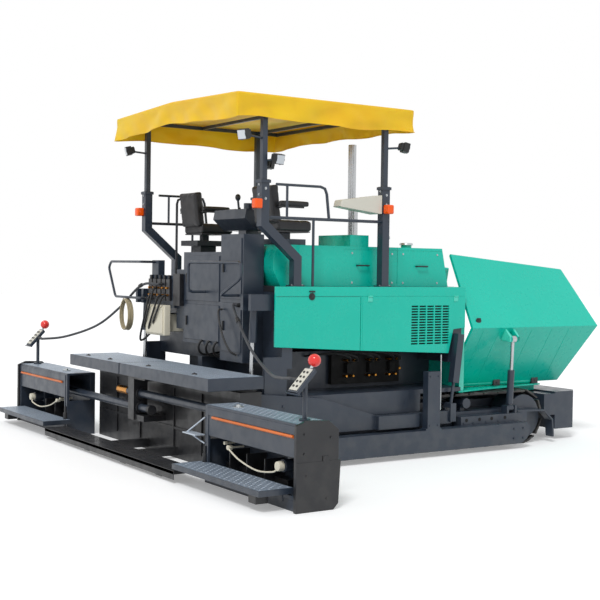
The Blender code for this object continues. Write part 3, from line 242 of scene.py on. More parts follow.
def make_looks():
    """Every finish by the record's slot name, then the finishes of small fittings."""
    return {
        "slate_paint": paint("slate_paint", (41, 51, 65), 0.38, dust=0.12, Coat_Weight=0.2, Coat_Roughness=0.2),
        "teal_paint": paint("teal_paint", (0, 196, 173), 0.30, spread=0.03, grain=0.02, Coat_Weight=0.2,
                            Coat_Roughness=0.12, Specular_IOR_Level=0.35),
        "worn_steel": metal("worn_steel", (120, 126, 134), 0.42),
        "chrome": metal("chrome", (186, 188, 190), 0.24, spread=0.05, grain=0.03),
        "black_paint": paint("black_paint", (26, 27, 31), 0.40, dust=0.07, Coat_Weight=0.15),
        "track_steel": paint("track_steel", (44, 44, 45), 0.62, spread=0.2, dust=0.5, grain=0.3),
        "seat_vinyl": vinyl("seat_vinyl", (30, 30, 33), 0.48),
        "canopy_fabric": canopy_cloth(),
        "pale_paint": paint("pale_paint", (214, 212, 200), 0.42, spread=0.05),
        "tread_plate": metal("tread_plate", (134, 148, 164), 0.40, metallic=0.2, spread=0.10),
        "cable_sheath": vinyl("cable_sheath", (52, 55, 60), 0.55),
        "dark_tread": metal("dark_tread", (58, 60, 64), 0.45, metallic=0.6),
        # a lighter copy of the tread plate: painted highlight on raised lozenges and on the step
        "tread_painted_highlight": metal("tread_painted_highlight", (190, 200, 212), 0.34, metallic=0.3),
        "shadow": paint("shadow", (12, 13, 14), 0.8),
        "orange_paint": paint("orange_paint", (217, 112, 47), 0.4, spread=0.10),
        "orange_lens": paint("orange_lens", (255, 92, 0), 0.18, spread=0.03, grain=0.02),
        "red_plastic": paint("red_plastic", (232, 44, 38), 0.28, spread=0.03, grain=0.02, Coat_Weight=0.4),
        "lamp_lens": paint("lamp_lens", (214, 220, 226), 0.12, spread=0.10, grain=0.5),
        "brass": metal("brass", (206, 142, 62), 0.28),
        "zinc": metal("zinc", (186, 190, 192), 0.32),
        "cream_paint": paint("cream_paint", (226, 220, 200), 0.45, spread=0.06),
        "beige_cord": vinyl("beige_cord", (170, 158, 128), 0.6),
        "black_rubber": vinyl("black_rubber", (24, 25, 27), 0.5),
        # a lighter copy of the teal paint: painted highlight on edges and faces turned to the light
        "teal_painted_highlight": paint("teal_painted_highlight", (70, 214, 190), 0.32, spread=0.04, Coat_Weight=0.4),
    }


# Shapes ------------------------------------------------------------------------------------------

class Shape:
    """Blocks, bars and plates gathered into one mesh, each a closed body."""

    def __init__(self):
        self.bm = bmesh.new()

    def block(self, x, y, z, turn=None):
        low = Vector(min(pair) for pair in (x, y, z))
        high = Vector(max(pair) for pair in (x, y, z))
        made = bmesh.ops.create_cube(self.bm, size=1.0)["verts"]
        size = high - low
        place = Matrix.Translation((low + high) / 2) @ (turn or Matrix.Identity(4)) @ Matrix.Diagonal((*size, 1.0))
        bmesh.ops.transform(self.bm, matrix=place, verts=made)
        return self

    def bar(self, start, end, radius, sides=16, end_radius=None):
        start, end = Vector(start), Vector(end)
        made = bmesh.ops.create_cone(
            self.bm, cap_ends=True, segments=sides, radius1=radius,
            radius2=radius if end_radius is None else end_radius, depth=(end - start).length,
        )["verts"]
        turn = (end - start).to_track_quat("Z", "Y").to_matrix().to_4x4()
        bmesh.ops.transform(self.bm, matrix=Matrix.Translation((start + end) / 2) @ turn, verts=made)
        return self

    def ball(self, centre, radius, squash=(1, 1, 1), rings=14, sides=24):
        made = bmesh.ops.create_uvsphere(self.bm, u_segments=sides, v_segments=rings, radius=radius)["verts"]
        place = Matrix.Translation(centre) @ Matrix.Diagonal((*squash, 1.0))
        bmesh.ops.transform(self.bm, matrix=place, verts=made)
        return self

    def plate(self, outline, axis, ends):
        """A polygon across an axis, as in the parts' own drawings: 'x' holds (y, z), 'y' (x, z), 'z' (x, y)."""
        place = {"x": lambda a, b, c: (c, a, b), "y": lambda a, b, c: (a, c, b), "z": lambda a, b, c: (a, b, c)}[axis]
        rings = [[self.bm.verts.new(place(a, b, end)) for a, b in outline] for end in ends]
        self.bm.faces.new(rings[0])
        self.bm.faces.new(rings[1])
        for i in range(len(outline)):
            j = (i + 1) % len(outline)
            self.bm.faces.new((rings[0][i], rings[0][j], rings[1][j], rings[1][i]))
        return self

    def tube(self, points, radius, sides=10, closed=False, count=None):
        """A round tube through points; with count it follows a smooth curve through them."""
        path = smooth_route(points, count) if count else [Vector(p) for p in points]
        rings = []
        up = Vector((0, 0, 1))
        last = len(path) - 1
        for i, point in enumerate(path):
            if closed:
                along = path[(i + 1) % len(path)] - path[i - 1]
            else:
                along = path[min(i + 1, last)] - path[max(i - 1, 0)]
            along.normalize()
            if i == 0 and abs(along.z) > 0.9:
                up = Vector((1, 0, 0))
            side = along.cross(up).normalized()
            up = side.cross(along).normalized()
            turns = [math.tau * k / sides for k in range(sides)]
            rings.append(
                [self.bm.verts.new(point + (side * math.cos(a) + up * math.sin(a)) * radius) for a in turns]
            )
        pairs = list(zip(rings, rings[1:]))
        if closed:
            pairs.append((rings[-1], rings[0]))
        else:
            self.bm.faces.new(rings[0])
            self.bm.faces.new(rings[-1])
        for a, b in pairs:
            for k in range(sides):
                j = (k + 1) % sides
                self.bm.faces.new((a[k], a[j], b[j], b[k]))
        return self

    def bolt(self, place, outward, size=0.012):
        """A washer and a six-sided head, standing out along outward."""
        place, out = Vector(place), Vector(outward).normalized()
        self.bar(place - out * 0.001, place + out * size * 0.25, size * 1.25, 16)
        self.bar(place + out * size * 0.2, place + out * size * 0.85, size * 0.9, 6)
        return self

    def bolts(self, places, outward, size=0.012):
        for place in places:
            self.bolt(place, outward, size)
        return self

    def mesh(self):
        bmesh.ops.recalc_face_normals(self.bm, faces=self.bm.faces)
        mesh = bpy.data.meshes.new("shape")
        self.bm.to_mesh(mesh)
        self.bm.free()
        return mesh


def smooth_route(points, count):
    """Points at even steps of a Catmull-Rom curve through the given ones."""
    pts = [Vector(p) for p in points]
    pts = [2 * pts[0] - pts[1]] + pts + [2 * pts[-1] - pts[-2]]
    spans = len(pts) - 3
    found = []
    for k in range(count):
        place = k * spans / (count - 1)
        i = min(int(place), spans - 1)
        t = place - i
        a, b, c, d = pts[i : i + 4]
        found.append(
            0.5 * (2 * b + (c - a) * t + (2 * a - 5 * b + 4 * c - d) * t**2 + (3 * b - a - 3 * c + d) * t**3)
        )
    return found


def put(name, mesh, look, body, bevel=0.0, replaces=()):
    """A mesh as a piece of the object: finished, rounded at its edges and riding on its body."""
    obj = bpy.data.objects.new(name, mesh)
    bpy.context.scene.collection.objects.link(obj)
    mesh.materials.clear()
    mesh.materials.append(looks[look])
    if bevel:
        round_edges(obj, bevel)
    mesh.shade_smooth()
    mesh.set_sharp_from_angle(angle=math.radians(40))
    if body:
        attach(obj, body)
    if replaces:
        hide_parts(*replaces)
    return obj


def round_edges(obj, width, segments=2):
    bevel = obj.modifiers.new("round", "BEVEL")
    bevel.width = width
    bevel.segments = segments
    bevel.limit_method = "ANGLE"
    bevel.angle_limit = math.radians(40)
    bevel.use_clamp_overlap = True
    normals = obj.modifiers.new("normals", "WEIGHTED_NORMAL")
    normals.keep_sharp = False


def joined_mesh(node):
    """A copy of a node's mesh with its split vertices joined and its flat stretches made one face each."""
    bm = bmesh.new()
    bm.from_mesh(nodes[node].data)
    bmesh.ops.remove_doubles(bm, verts=bm.verts, dist=2e-5)
    bmesh.ops.dissolve_limit(
        bm, angle_limit=math.radians(0.6), verts=bm.verts, edges=bm.edges, delimit=set()
    )
    mesh = bpy.data.meshes.new(node)
    bm.to_mesh(mesh)
    bm.free()
    return mesh


def carved(mesh, cuts):
    """The mesh less the Shape cuts, which is one mesh of separate closed bodies."""
    base = bpy.data.objects.new("base", mesh)
    cutter = bpy.data.objects.new("cutter", cuts.mesh())
    for obj in (base, cutter):
        bpy.context.scene.collection.objects.link(obj)
    modifier = base.modifiers.new("cut", "BOOLEAN")
    modifier.operation = "DIFFERENCE"
    modifier.object = cutter
    modifier.solver = "EXACT"
    modifier.use_self = True
    bpy.context.view_layer.update()
    graph = bpy.context.evaluated_depsgraph_get()
    made = bpy.data.meshes.new_from_object(base.evaluated_get(graph))
    for obj in (base, cutter):
        bpy.data.objects.remove(obj)
    return made


def body_of(node):
    return nodes[node]["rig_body"]


def remade(node, look, bevel, cuts=None):
    """A node's own shape with rounded edges and, where given, cuts, shown in the node's place."""
    mesh = joined_mesh(node)
    if cuts:
        mesh = carved(mesh, cuts)
    return put(node + "_shell", mesh, look, body_of(node), bevel, (node,))


# Floor and light ---------------------------------------------------------------------------------

def make_stage():
    """A pale floor that seems white to the camera but keeps the shadow, under an even sky and a soft sun."""
    mesh = bpy.data.meshes.new("floor")
    reach = 60
    corners = [(-reach, -reach, 0), (reach, -reach, 0), (reach, reach, 0), (-reach, reach, 0)]
    mesh.from_pydata(corners, [], [(0, 1, 2, 3)])
    floor = bpy.data.objects.new("floor", mesh)
    bpy.context.scene.collection.objects.link(floor)
    floor.location.z = -0.001
    mat = bpy.data.materials.new("floor")
    mat.use_nodes = True
    tree = mat.node_tree
    shader = tree.nodes["Principled BSDF"]
    shader.inputs["Base Color"].default_value = (0.86, 0.87, 0.88, 1)
    shader.inputs["Roughness"].default_value = 0.9
    shader.inputs["Emission Color"].default_value = (1, 1, 1, 1)
    seen = seen_ray(tree)
    scale = tree.nodes.new("ShaderNodeMath")
    scale.operation = "MULTIPLY"
    scale.inputs[1].default_value = 0.26
    tree.links.new(seen, scale.inputs[0])
    tree.links.new(scale.outputs[0], shader.inputs["Emission Strength"])
    mesh.materials.append(mat)

    world = bpy.data.worlds.new("sky")
    bpy.context.scene.world = world
    world.use_nodes = True
    tree = world.node_tree
    background = tree.nodes["Background"]
    background.inputs["Color"].default_value = (1, 1, 1, 1)
    spread = tree.nodes.new("ShaderNodeMapRange")
    spread.inputs["To Min"].default_value = 0.60
    spread.inputs["To Max"].default_value = 1.0
    tree.links.new(seen_ray(tree), spread.inputs["Value"])
    tree.links.new(spread.outputs["Result"], background.inputs["Strength"])

    sun = bpy.data.objects.new("sun", bpy.data.lights.new("sun", "SUN"))
    bpy.context.scene.collection.objects.link(sun)
    sun.data.energy = 1.5
    sun.data.angle = math.radians(14)
    sun.rotation_mode = "QUATERNION"
    sun.rotation_quaternion = Vector((-0.62, -0.55, 1.0)).to_track_quat("Z", "Y")
    bpy.context.scene.view_settings.view_transform = "Standard"


def seen_ray(tree):
    """1 for rays from the camera, in a mirror or through glass."""
    path = tree.nodes.new("ShaderNodeLightPath")
    total = path.outputs["Is Camera Ray"]
    for name in ("Is Glossy Ray", "Is Transmission Ray"):
        step = tree.nodes.new("ShaderNodeMath")
        step.operation = "MAXIMUM"
        tree.links.new(total, step.inputs[0])
        tree.links.new(path.outputs[name], step.inputs[1])
        total = step.outputs[0]
    return total


# Tractor -----------------------------------------------------------------------------------------

def finish_node(node, look, width):
    """A node kept as it is, with its finish, and with its edges rounded by modifiers."""
    obj = nodes[node]
    for slot in obj.material_slots:
        slot.material = looks[look]
    weld = obj.modifiers.new("weld", "WELD")
    weld.merge_threshold = 2e-5
    flat = obj.modifiers.new("flat", "DECIMATE")
    flat.decimate_type = "DISSOLVE"
    flat.angle_limit = math.radians(0.6)
    round_edges(obj, width)


def plain_nodes():
    """Nodes that keep their own shape: edges rounded, finish given."""
    finishes = {
        "main_frame": ("slate_paint", 0.004), "engine_block": ("black_paint", 0.01), "platform": ("dark_tread", 0.003),
        "seat_mount": ("slate_paint", 0.004), "control_console": ("slate_paint", 0.008),
        "rear_cabinet": ("slate_paint", 0.005), "electrical_box": ("cream_paint", 0.010),
        "exhaust_stack": ("chrome", 0.003), "air_duct": ("pale_paint", 0.012), "hopper": ("teal_paint", 0.004),
        "push_beam": ("slate_paint", 0.008), "canopy_frame": ("slate_paint", 0.002),
        "screed_body": ("black_paint", 0.004),
    }
    for side, _ in SIDES:
        finishes.update({
            f"track_frame_{side}": ("slate_paint", 0.004), f"side_beam_{side}": ("slate_paint", 0.006),
            f"levelling_cylinder_{side}": ("slate_paint", 0.005), f"post_frame_{side}": ("slate_paint", 0.005),
            f"push_roller_{side}": ("worn_steel", 0.006), f"auger_{side}": ("worn_steel", 0.002),
            f"hopper_wing_{side}": ("teal_paint", 0.006), f"wing_cylinder_{side}": ("slate_paint", 0.003),
            f"wing_rod_{side}": ("chrome", 0.003), f"lift_cylinder_{side}": ("slate_paint", 0.003),
            f"lift_rod_{side}": ("chrome", 0.003), f"tow_arm_{side}": ("slate_paint", 0.005),
            f"extension_{side}": ("slate_paint", 0.004), f"end_gate_{side}": ("black_paint", 0.006),
        })
    for node, (look, width) in finishes.items():
        finish_node(node, look, width)


def tracks():
    """Each shoe as a rounded pad on its link, round the same loop as the band."""
    low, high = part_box("track_left")
    outer = (high.z - low.z) / 2
    centres = (high.x - outer, low.x + outer)
    run = centres[0] - centres[1]
    grouser = 0.022
    radius = outer - grouser
    shoes = 34
    pitch = 2 * (run + math.pi * radius) / shoes
    for side, s in SIDES:
        low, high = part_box(f"track_{side}")
        shape = Shape()
        for i in range(shoes):
            distance = (i + 0.5) * pitch
            place, turn = on_loop(distance, centres, run, radius, outer)
            middle = (low.y + high.y) / 2
            wide = (high.y - low.y) / 2
            for size, out in (
                ((pitch * 0.44, wide, 0.010), 0.004), ((pitch * 0.15, wide * 0.98, 0.012), grouser - 0.012),
                ((pitch * 0.5, 0.05, 0.016), -0.012),
            ):
                block(shape, size, place, turn, out, middle)
            for across in (-0.09, 0.09):
                for along in (-0.27, 0.27):
                    at = place + turn @ Vector((along * pitch, 0, 0.014)) + Vector((0, middle + across, 0))
                    shape.bolt(at, turn @ Vector((0, 0, 1)), 0.009)
        put(f"track_chain_{side}", shape.mesh(), "track_steel", "root", 0.003, (f"track_{side}",))


def block(shape, half, place, turn, out, middle):
    """A block of these half sizes, laid along the track's loop and out from it."""
    made = bmesh.ops.create_cube(shape.bm, size=2.0)["verts"]
    at = place + turn @ Vector((0, 0, out)) + Vector((0, middle, 0))
    matrix = Matrix.Translation(at) @ turn.to_4x4() @ Matrix.Diagonal((*half, 1.0))
    bmesh.ops.transform(shape.bm, matrix=matrix, verts=made)


def on_loop(distance, centres, run, radius, middle):
    """Place and turn of a shoe this far along the loop, which starts under the front wheel."""
    half_turn = math.pi * radius
    if distance < half_turn:
        angle, centre = distance / radius - math.pi / 2, centres[0]
    elif distance < half_turn + run:
        place = Vector((centres[0] - (distance - half_turn), 0, middle + radius))
        return place, Matrix.Rotation(0, 3, "Y")
    elif distance < 2 * half_turn + run:
        angle, centre = (distance - half_turn - run) / radius + math.pi / 2, centres[1]
    else:
        place = Vector((centres[1] + distance - 2 * half_turn - run, 0, middle - radius))
        return place, Matrix.Rotation(math.pi, 3, "Y")
    place = Vector((centre + radius * math.cos(angle), 0, middle + radius * math.sin(angle)))
    return place, Matrix.Rotation(math.pi / 2 - angle, 3, "Y")


def panels():
    """Side panels and doors: a folded edge, the split, the cooling slots, latch and hinges."""
    for side, s in SIDES:
        body = f"side_door_{side}"
        low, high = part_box(body)
        out = (0, s, 0)
        y = SIDE_Y * s
        cuts = Shape()
        for column in range(5):
            x = 0.055 + column * 0.108
            for row in range(15):
                z = 1.185 + row * 0.0285
                cuts.block((x, x + 0.092), (y - 0.1 * s, y + 0.1 * s), (z, z + 0.016))
        cuts.block((low.x + 0.02, low.x + 0.023), (y - 0.004 * s, y + 0.1 * s), (0, 3))
        remade(body, "teal_paint", 0.004, cuts)
        # a dark sheet behind the cooling slots: painted shade seen through them
        slot_shade = Shape().block((0.04, 0.60), (y - 0.0235 * s, y - 0.0245 * s), (1.175, 1.62))
        put(f"door_slot_shade_{side}", slot_shade.mesh(), "shadow", body)
        finish_node(f"side_panel_{side}", "teal_paint", 0.004)
        trim = Shape()
        for x in (-0.50, 0.67):
            trim.block((x - 0.03, x + 0.03), (y, y + 0.006 * s), (SEAM_Z - 0.055, SEAM_Z - 0.008))
            trim.bar((x - 0.03, y + 0.006 * s, SEAM_Z), (x + 0.03, y + 0.006 * s, SEAM_Z), 0.007, 12)
        # the hinges in the lighter teal: painted highlight
        put(f"door_hinges_{side}", trim.mesh(), "teal_painted_highlight", body, 0.0015)
        latch = Shape()
        latch.bar((-1.23, y - 0.002 * s, 1.70), (-1.23, y + 0.007 * s, 1.70), 0.036, 28)
        latch.block((-1.262, -1.198), (y, y + 0.016 * s), (1.742, 1.758))
        latch.block((-1.246, -1.214), (y + 0.004 * s, y + 0.013 * s), (1.685, 1.715))
        put(f"door_latch_{side}", latch.mesh(), "black_rubber", "root", 0.002)
        seams = Shape()
        seams.block((-1.655, -0.63), (y, y + PROUD * s), (SEAM_Z - 0.0015, SEAM_Z + 0.0015))
        put(f"panel_seam_{side}", seams.mesh(), "shadow", "root")


def hood():
    """Engine hood with its joints cut in and the fillers on top."""
    low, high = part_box("engine_hood")
    cuts = Shape()
    for s in (-1, 1):
        cuts.block((0.02, 0.025), (1.05 * s, 1.3 * s), (DECK_Z + 0.02, HOOD_Z + 0.1))
        cuts.block((-0.70, 0.8), (high.y * s - 0.003 * s, 1.3 * s), (HOOD_Z - 0.034, HOOD_Z - 0.030))
    cuts.block((0.02, 0.025), (-1.3, 1.3), (HOOD_Z - 0.003, HOOD_Z + 0.002))
    remade("engine_hood", "teal_paint", 0.010, cuts)
    caps = Shape()
    caps.bar((0.0, -0.95, HOOD_Z + 0.095), (0.0, -0.95, HOOD_Z + 0.125), 0.062, 28, 0.056)
    caps.bar((0.38, -0.85, HOOD_Z + 0.035), (0.38, -0.85, HOOD_Z + 0.060), 0.078, 28, 0.070)
    put("filler_caps", caps.mesh(), "zinc", "root", 0.003)
    grip = Shape()
    for s in (-1, 1):
        for x in (-0.45, 0.35):
            y = high.y * s
            grip.tube([(x - 0.07, y, 2.02), (x - 0.07, y + 0.035 * s, 2.02), (x + 0.07, y + 0.035 * s, 2.02),
                       (x + 0.07, y, 2.02)], 0.008, 10)
    put("hood_handles", grip.mesh(), "black_rubber", "root")
    fixings = Shape()
    for s in (-1, 1):
        fixings.bolts([(x, high.y * s, z) for x in (-0.58, -0.05, 0.10, 0.58) for z in (1.84, 2.15)], (0, s, 0), 0.009)
    put("hood_bolts", fixings.mesh(), "zinc", "root")


def exhaust():
    """Clamps of the exhaust."""
    low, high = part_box("exhaust_stack")
    x, y = (low.x + high.x) / 2, (low.y + high.y) / 2
    fit = Shape()
    for z, r in ((2.66, 0.060), (2.745, 0.054)):
        fit.bar((x + 0.004, y, z), (x + 0.004, y, z + 0.028), r, 32)
        fit.block((x + 0.05, x + 0.085), (y - 0.012, y + 0.012), (z, z + 0.028))
    put("exhaust_clamps", fit.mesh(), "zinc", "root", 0.002)


def posts():
    """Lamps, plates and bolts on the canopy's posts."""
    bolts = Shape()
    plates = Shape()
    for side, s in SIDES:
        for x in POST_X:
            y = (POST_Y + 0.045) * s
            bolts.bolts([(x, y, z) for z in (2.76, 2.66)], (0, s, 0), 0.011)
            bolts.bolts([(x - 0.045, (POST_Y) * s, z) for z in (2.80, 2.70)], (-1, 0, 0), 0.011)
            plates.block((x - 0.056, x + 0.056), ((POST_Y - 0.056) * s, (POST_Y + 0.056) * s), (2.815, 2.846))
        for x in (-1.38, POST_X[1]):
            for dx in (-0.062, 0.062):
                bolts.bolt((x + dx, (POST_Y + 0.03) * s, DECK_Z + 0.0125), (0, 0, 1), 0.008)
    cuts = Shape()
    for s in (-1, 1):
        for x in POST_X:
            cuts.block((x - 0.047, x + 0.047), ((POST_Y - 0.047) * s, (POST_Y + 0.047) * s), (2.7, 2.9))
    put("post_bolts", bolts.mesh(), "zinc", "root")
    put("post_collars", carved(plates.mesh(), cuts), "slate_paint", "root", 0.002)
    lenses, boxes = Shape(), Shape()
    for x, s, out in ((-1.77, -1, (-1, 0)), (-1.77, 1, (-1, 0)), (-0.28, -1, (0, -1))):
        y = (POST_Y + 0.045) * s if out[1] else (POST_Y + 0.03) * s
        px = x - 0.045 if out[0] else x
        centre = Vector((px + out[0] * 0.04, y + out[1] * 0.04, 2.61))
        boxes.block((centre.x - 0.036, centre.x + 0.036), (centre.y - 0.036, centre.y + 0.036), (2.595, 2.625))
        lenses.block((centre.x - 0.042, centre.x + 0.042), (centre.y - 0.042, centre.y + 0.042), (2.562, 2.658))
    put("marker_bases", boxes.mesh(), "black_rubber", "root", 0.004)
    put("marker_lamps", lenses.mesh(), "orange_lens", "root", 0.014)
    work_lamps()


def work_lamps():
    """Square work lamps on the canopy's stems."""
    lamps = (((-2.02, -1.33, 3.27), (-1, -0.3)), ((-1.66, -1.38, 3.05), (0.2, -1)), ((-1.99, 1.33, 3.31), (-1, 0.3)),
             ((-0.06, -1.35, 3.27), (1, -0.3)), ((-0.06, 1.35, 3.27), (1, 0.3)))
    shells, faces = Shape(), Shape()
    for place, aim in lamps:
        look = Vector((*aim, -0.25)).normalized()
        side = look.cross(Vector((0, 0, 1))).normalized()
        up = side.cross(look)
        turn = Matrix((side, look, up)).transposed()
        for shape, half, out in ((shells, (0.055, 0.030, 0.050), 0.005), (shells, (0.042, 0.020, 0.038), -0.038),
                                 (faces, (0.048, 0.004, 0.043), 0.037)):
            made = bmesh.ops.create_cube(shape.bm, size=2.0)["verts"]
            at = Vector(place) + look * out
            matrix = Matrix.Translation(at) @ turn.to_4x4() @ Matrix.Diagonal((*half, 1.0))
            bmesh.ops.transform(shape.bm, matrix=matrix, verts=made)
        for i in range(-3, 4):
            at = Vector(place) - look * 0.062 + side * i * 0.011
            shells.bar(at - up * 0.03, at + up * 0.03, 0.0035, 6)
    put("work_lamp_shells", shells.mesh(), "black_rubber", "canopy", 0.005)
    put("work_lamp_lenses", faces.mesh(), "lamp_lens", "canopy", 0.002)


def operator_stand():
    """Desk top, knobs, levers and the lever's gaiter round the driver's place."""
    desk = Shape()
    slope = Matrix.Rotation(math.radians(5.4), 4, "Y")
    for x, y, half in ((-1.28, -0.34, (0.10, 0.09)), (-1.28, 0.05, (0.09, 0.08)), (-1.42, -0.12, (0.05, 0.12))):
        z = 2.605 - (x + 1.5) * 0.095
        desk.block((x - half[0], x + half[0]), (y - half[1], y + half[1]), (z - 0.006, z + 0.006), slope)
    put("desk_plates", desk.mesh(), "black_rubber", "root", 0.004)
    knobs = Shape()
    for i in range(6):
        x, y = -1.34 + (i % 3) * 0.05, -0.39 + (i // 3) * 0.07
        z = 2.612 - (x + 1.5) * 0.095
        knobs.bar((x, y, z - 0.006), (x, y, z + 0.014), 0.011, 16, 0.009)
    for i in range(4):
        x, y = -1.24, 0.00 + i * 0.032
        z = 2.612 - (x + 1.5) * 0.095
        knobs.bar((x, y, z - 0.006), (x, y, z + 0.030), 0.005, 10, 0.007)
    put("desk_knobs", knobs.mesh(), "zinc", "root", 0.001)
    gaiter = Shape()
    for i in range(5):
        gaiter.bar((-1.34, -0.10, 2.585 + i * 0.010), (-1.34, -0.10, 2.595 + i * 0.010), 0.038 - i * 0.006, 20,
                   0.030 - i * 0.005)
    gaiter.ball((-1.36, -0.10, 2.742), 0.030, (1, 1, 1.2))
    put("lever_gaiter", gaiter.mesh(), "black_rubber", "root")


def rear_fittings():
    """Cabinet doors, valve block, hoses and boxes across the tractor's back."""
    doors = Shape()
    x = -1.80
    for y, z in (((-0.95, -0.55), (1.12, 1.62)), ((-0.95, -0.55), (1.66, 2.28)), ((-0.50, 0.26), (1.62, 2.10)),
                 ((-0.50, 0.26), (1.20, 1.58))):
        doors.block((x - 0.010, x + 0.004), y, z)
    put("cabinet_doors", doors.mesh(), "slate_paint", "root", 0.004)
    grips = Shape()
    for y, z in ((-0.60, 1.38), (-0.60, 1.98), (0.20, 1.86), (0.20, 1.40)):
        grips.block((x - 0.026, x - 0.009), (y - 0.012, y + 0.012), (z - 0.05, z + 0.05))
    put("cabinet_grips", grips.mesh(), "black_rubber", "root", 0.004)
    box = Shape()
    box.block((-1.935, -1.918), (0.545, 0.955), (1.235, 1.525))
    box.bolts([(-1.935, y, z) for y in (0.56, 0.94) for z in (1.25, 1.51)], (-1, 0, 0), 0.006)
    put("electrical_lid", box.mesh(), "cream_paint", "root", 0.006)
    valves = Shape()
    for i in range(5):
        y = 0.50 + i * 0.11
        valves.block((-1.872, -1.838), (y, y + 0.085), (1.60, 1.84))
        valves.bar((-1.855, y + 0.04, 1.84), (-1.855, y + 0.04, 1.885), 0.016, 12)
    valves.block((-1.855, -1.80), (0.29, 0.45), (1.55, 1.90))
    put("valve_blocks", valves.mesh(), "black_paint", "root", 0.004)
    brass = Shape()
    for i in range(5):
        y = 0.542 + i * 0.11
        for z in (1.66, 1.74):
            brass.bar((-1.870, y, z), (-1.895, y, z), 0.013, 6)
    put("hose_unions", brass.mesh(), "brass", "root", 0.001)
    hoses = Shape()
    for i, (y0, z0) in enumerate(((0.542, 1.66), (0.652, 1.66), (0.762, 1.74), (0.872, 1.66))):
        drop = 0.30 + 0.06 * i
        hoses.tube([(-1.89, y0, z0), (-1.94, y0, z0 - 0.02), (-1.955, y0 + 0.05, z0 - drop * 0.4),
                    (-1.945, y0 + 0.20, z0 - drop), (-1.86, y0 + 0.30, z0 - drop * 1.1),
                    (-1.74, 1.09, 1.36 - 0.03 * i)], 0.012, 10, count=26)
    for i in range(3):
        y0 = -0.46 + i * 0.16
        hoses.tube([(-1.79, y0, 1.20), (-1.82, y0, 1.19), (-1.835, y0 + 0.02, 1.13), (-1.79, y0 + 0.05, 1.06),
                    (-1.70, y0 + 0.06, 1.04), (-1.56, y0 + 0.06, 1.06)], 0.013, 10, count=24)
    hoses.tube([(-1.82, -0.60, 1.55), (-1.87, -0.60, 1.52), (-1.89, -0.72, 1.30), (-1.87, -0.84, 1.14),
                (-1.81, -0.88, 1.09)], 0.011, 10, count=22)
    put("rear_hoses", hoses.mesh(), "black_rubber", "root")


def side_bays():
    """Pumps, fittings and hoses that show between the doors and the tracks."""
    pumps, unions, hoses = Shape(), Shape(), Shape()
    for _, s in SIDES:
        pumps.block((-0.62, 0.30), (0.80 * s, 0.86 * s), (0.74, 1.06))
        for x in (-0.42, -0.12, 0.16):
            pumps.block((x - 0.035, x + 0.035), (0.85 * s, 0.92 * s), (0.86, 0.97))
            for dx in (-0.045, 0.045):
                unions.bar((x + dx, 0.86 * s, 1.00), (x + dx, 0.95 * s, 1.00), 0.014, 6)
                unions.bar((x + dx, 0.86 * s, 0.83), (x + dx, 0.93 * s, 0.83), 0.013, 6)
                hoses.tube([(x + dx, 0.94 * s, 1.00), (x + dx, 1.00 * s, 1.00), (x + dx - 0.06, 1.04 * s, 1.05),
                            (x + dx - 0.22, 1.02 * s, 1.09), (x + dx - 0.42, 0.90 * s, 1.07),
                            (x + dx - 0.46, 0.81 * s, 1.05)], 0.011, 8, count=18)
        unions.bar((0.30, 0.80 * s, 0.88), (0.36, 0.80 * s, 0.88), 0.020, 6)
    put("bay_pumps", pumps.mesh(), "shadow", "root", 0.004)
    put("bay_unions", unions.mesh(), "brass", "root", 0.001)
    put("bay_hoses", hoses.mesh(), "black_rubber", "root")


def undercarriage():
    """Holes and bolts on the outer beams, and the pale measuring rod by the door."""
    bolts, dark, steel = Shape(), Shape(), Shape()
    for _, s in SIDES:
        face = 1.48 * s
        for x in (0.76, 0.95, 1.13, 1.33):
            dark.bar((x, face - 0.002 * s, 0.345), (x, face + PROUD * s, 0.345), 0.020, 20)
        for x in (0.72, 0.86, 1.05, 1.23):
            bolts.bolt((x, face, 0.31), (0, s, 0), 0.010)
        bolts.bolts([(x, 1.60 * s, z) for x in (-1.32, -1.12, 1.36, 1.50) for z in (0.12, 0.23)], (0, s, 0), 0.012)
        bolts.bolts([(x, 1.60 * s, z) for x in (0.14, 0.25) for z in (0.34, 0.86)], (0, s, 0), 0.009)
        steel.bar((0.44, 1.41 * s, 0.47), (0.44, 1.41 * s, 1.07), 0.009, 12)
        bolts.bolts([(x, 1.44 * s, z) for x, z in ((-1.60, 0.42), (-1.60, 0.62), (-1.36, 0.42))], (0, s, 0), 0.013)
    put("beam_bolts", bolts.mesh(), "slate_paint", "root", 0)
    put("beam_holes", dark.mesh(), "shadow", "root")
    rods = put("guide_rods", steel.mesh(), "zinc", "screed")
    return rods


# Hopper ------------------------------------------------------------------------------------------

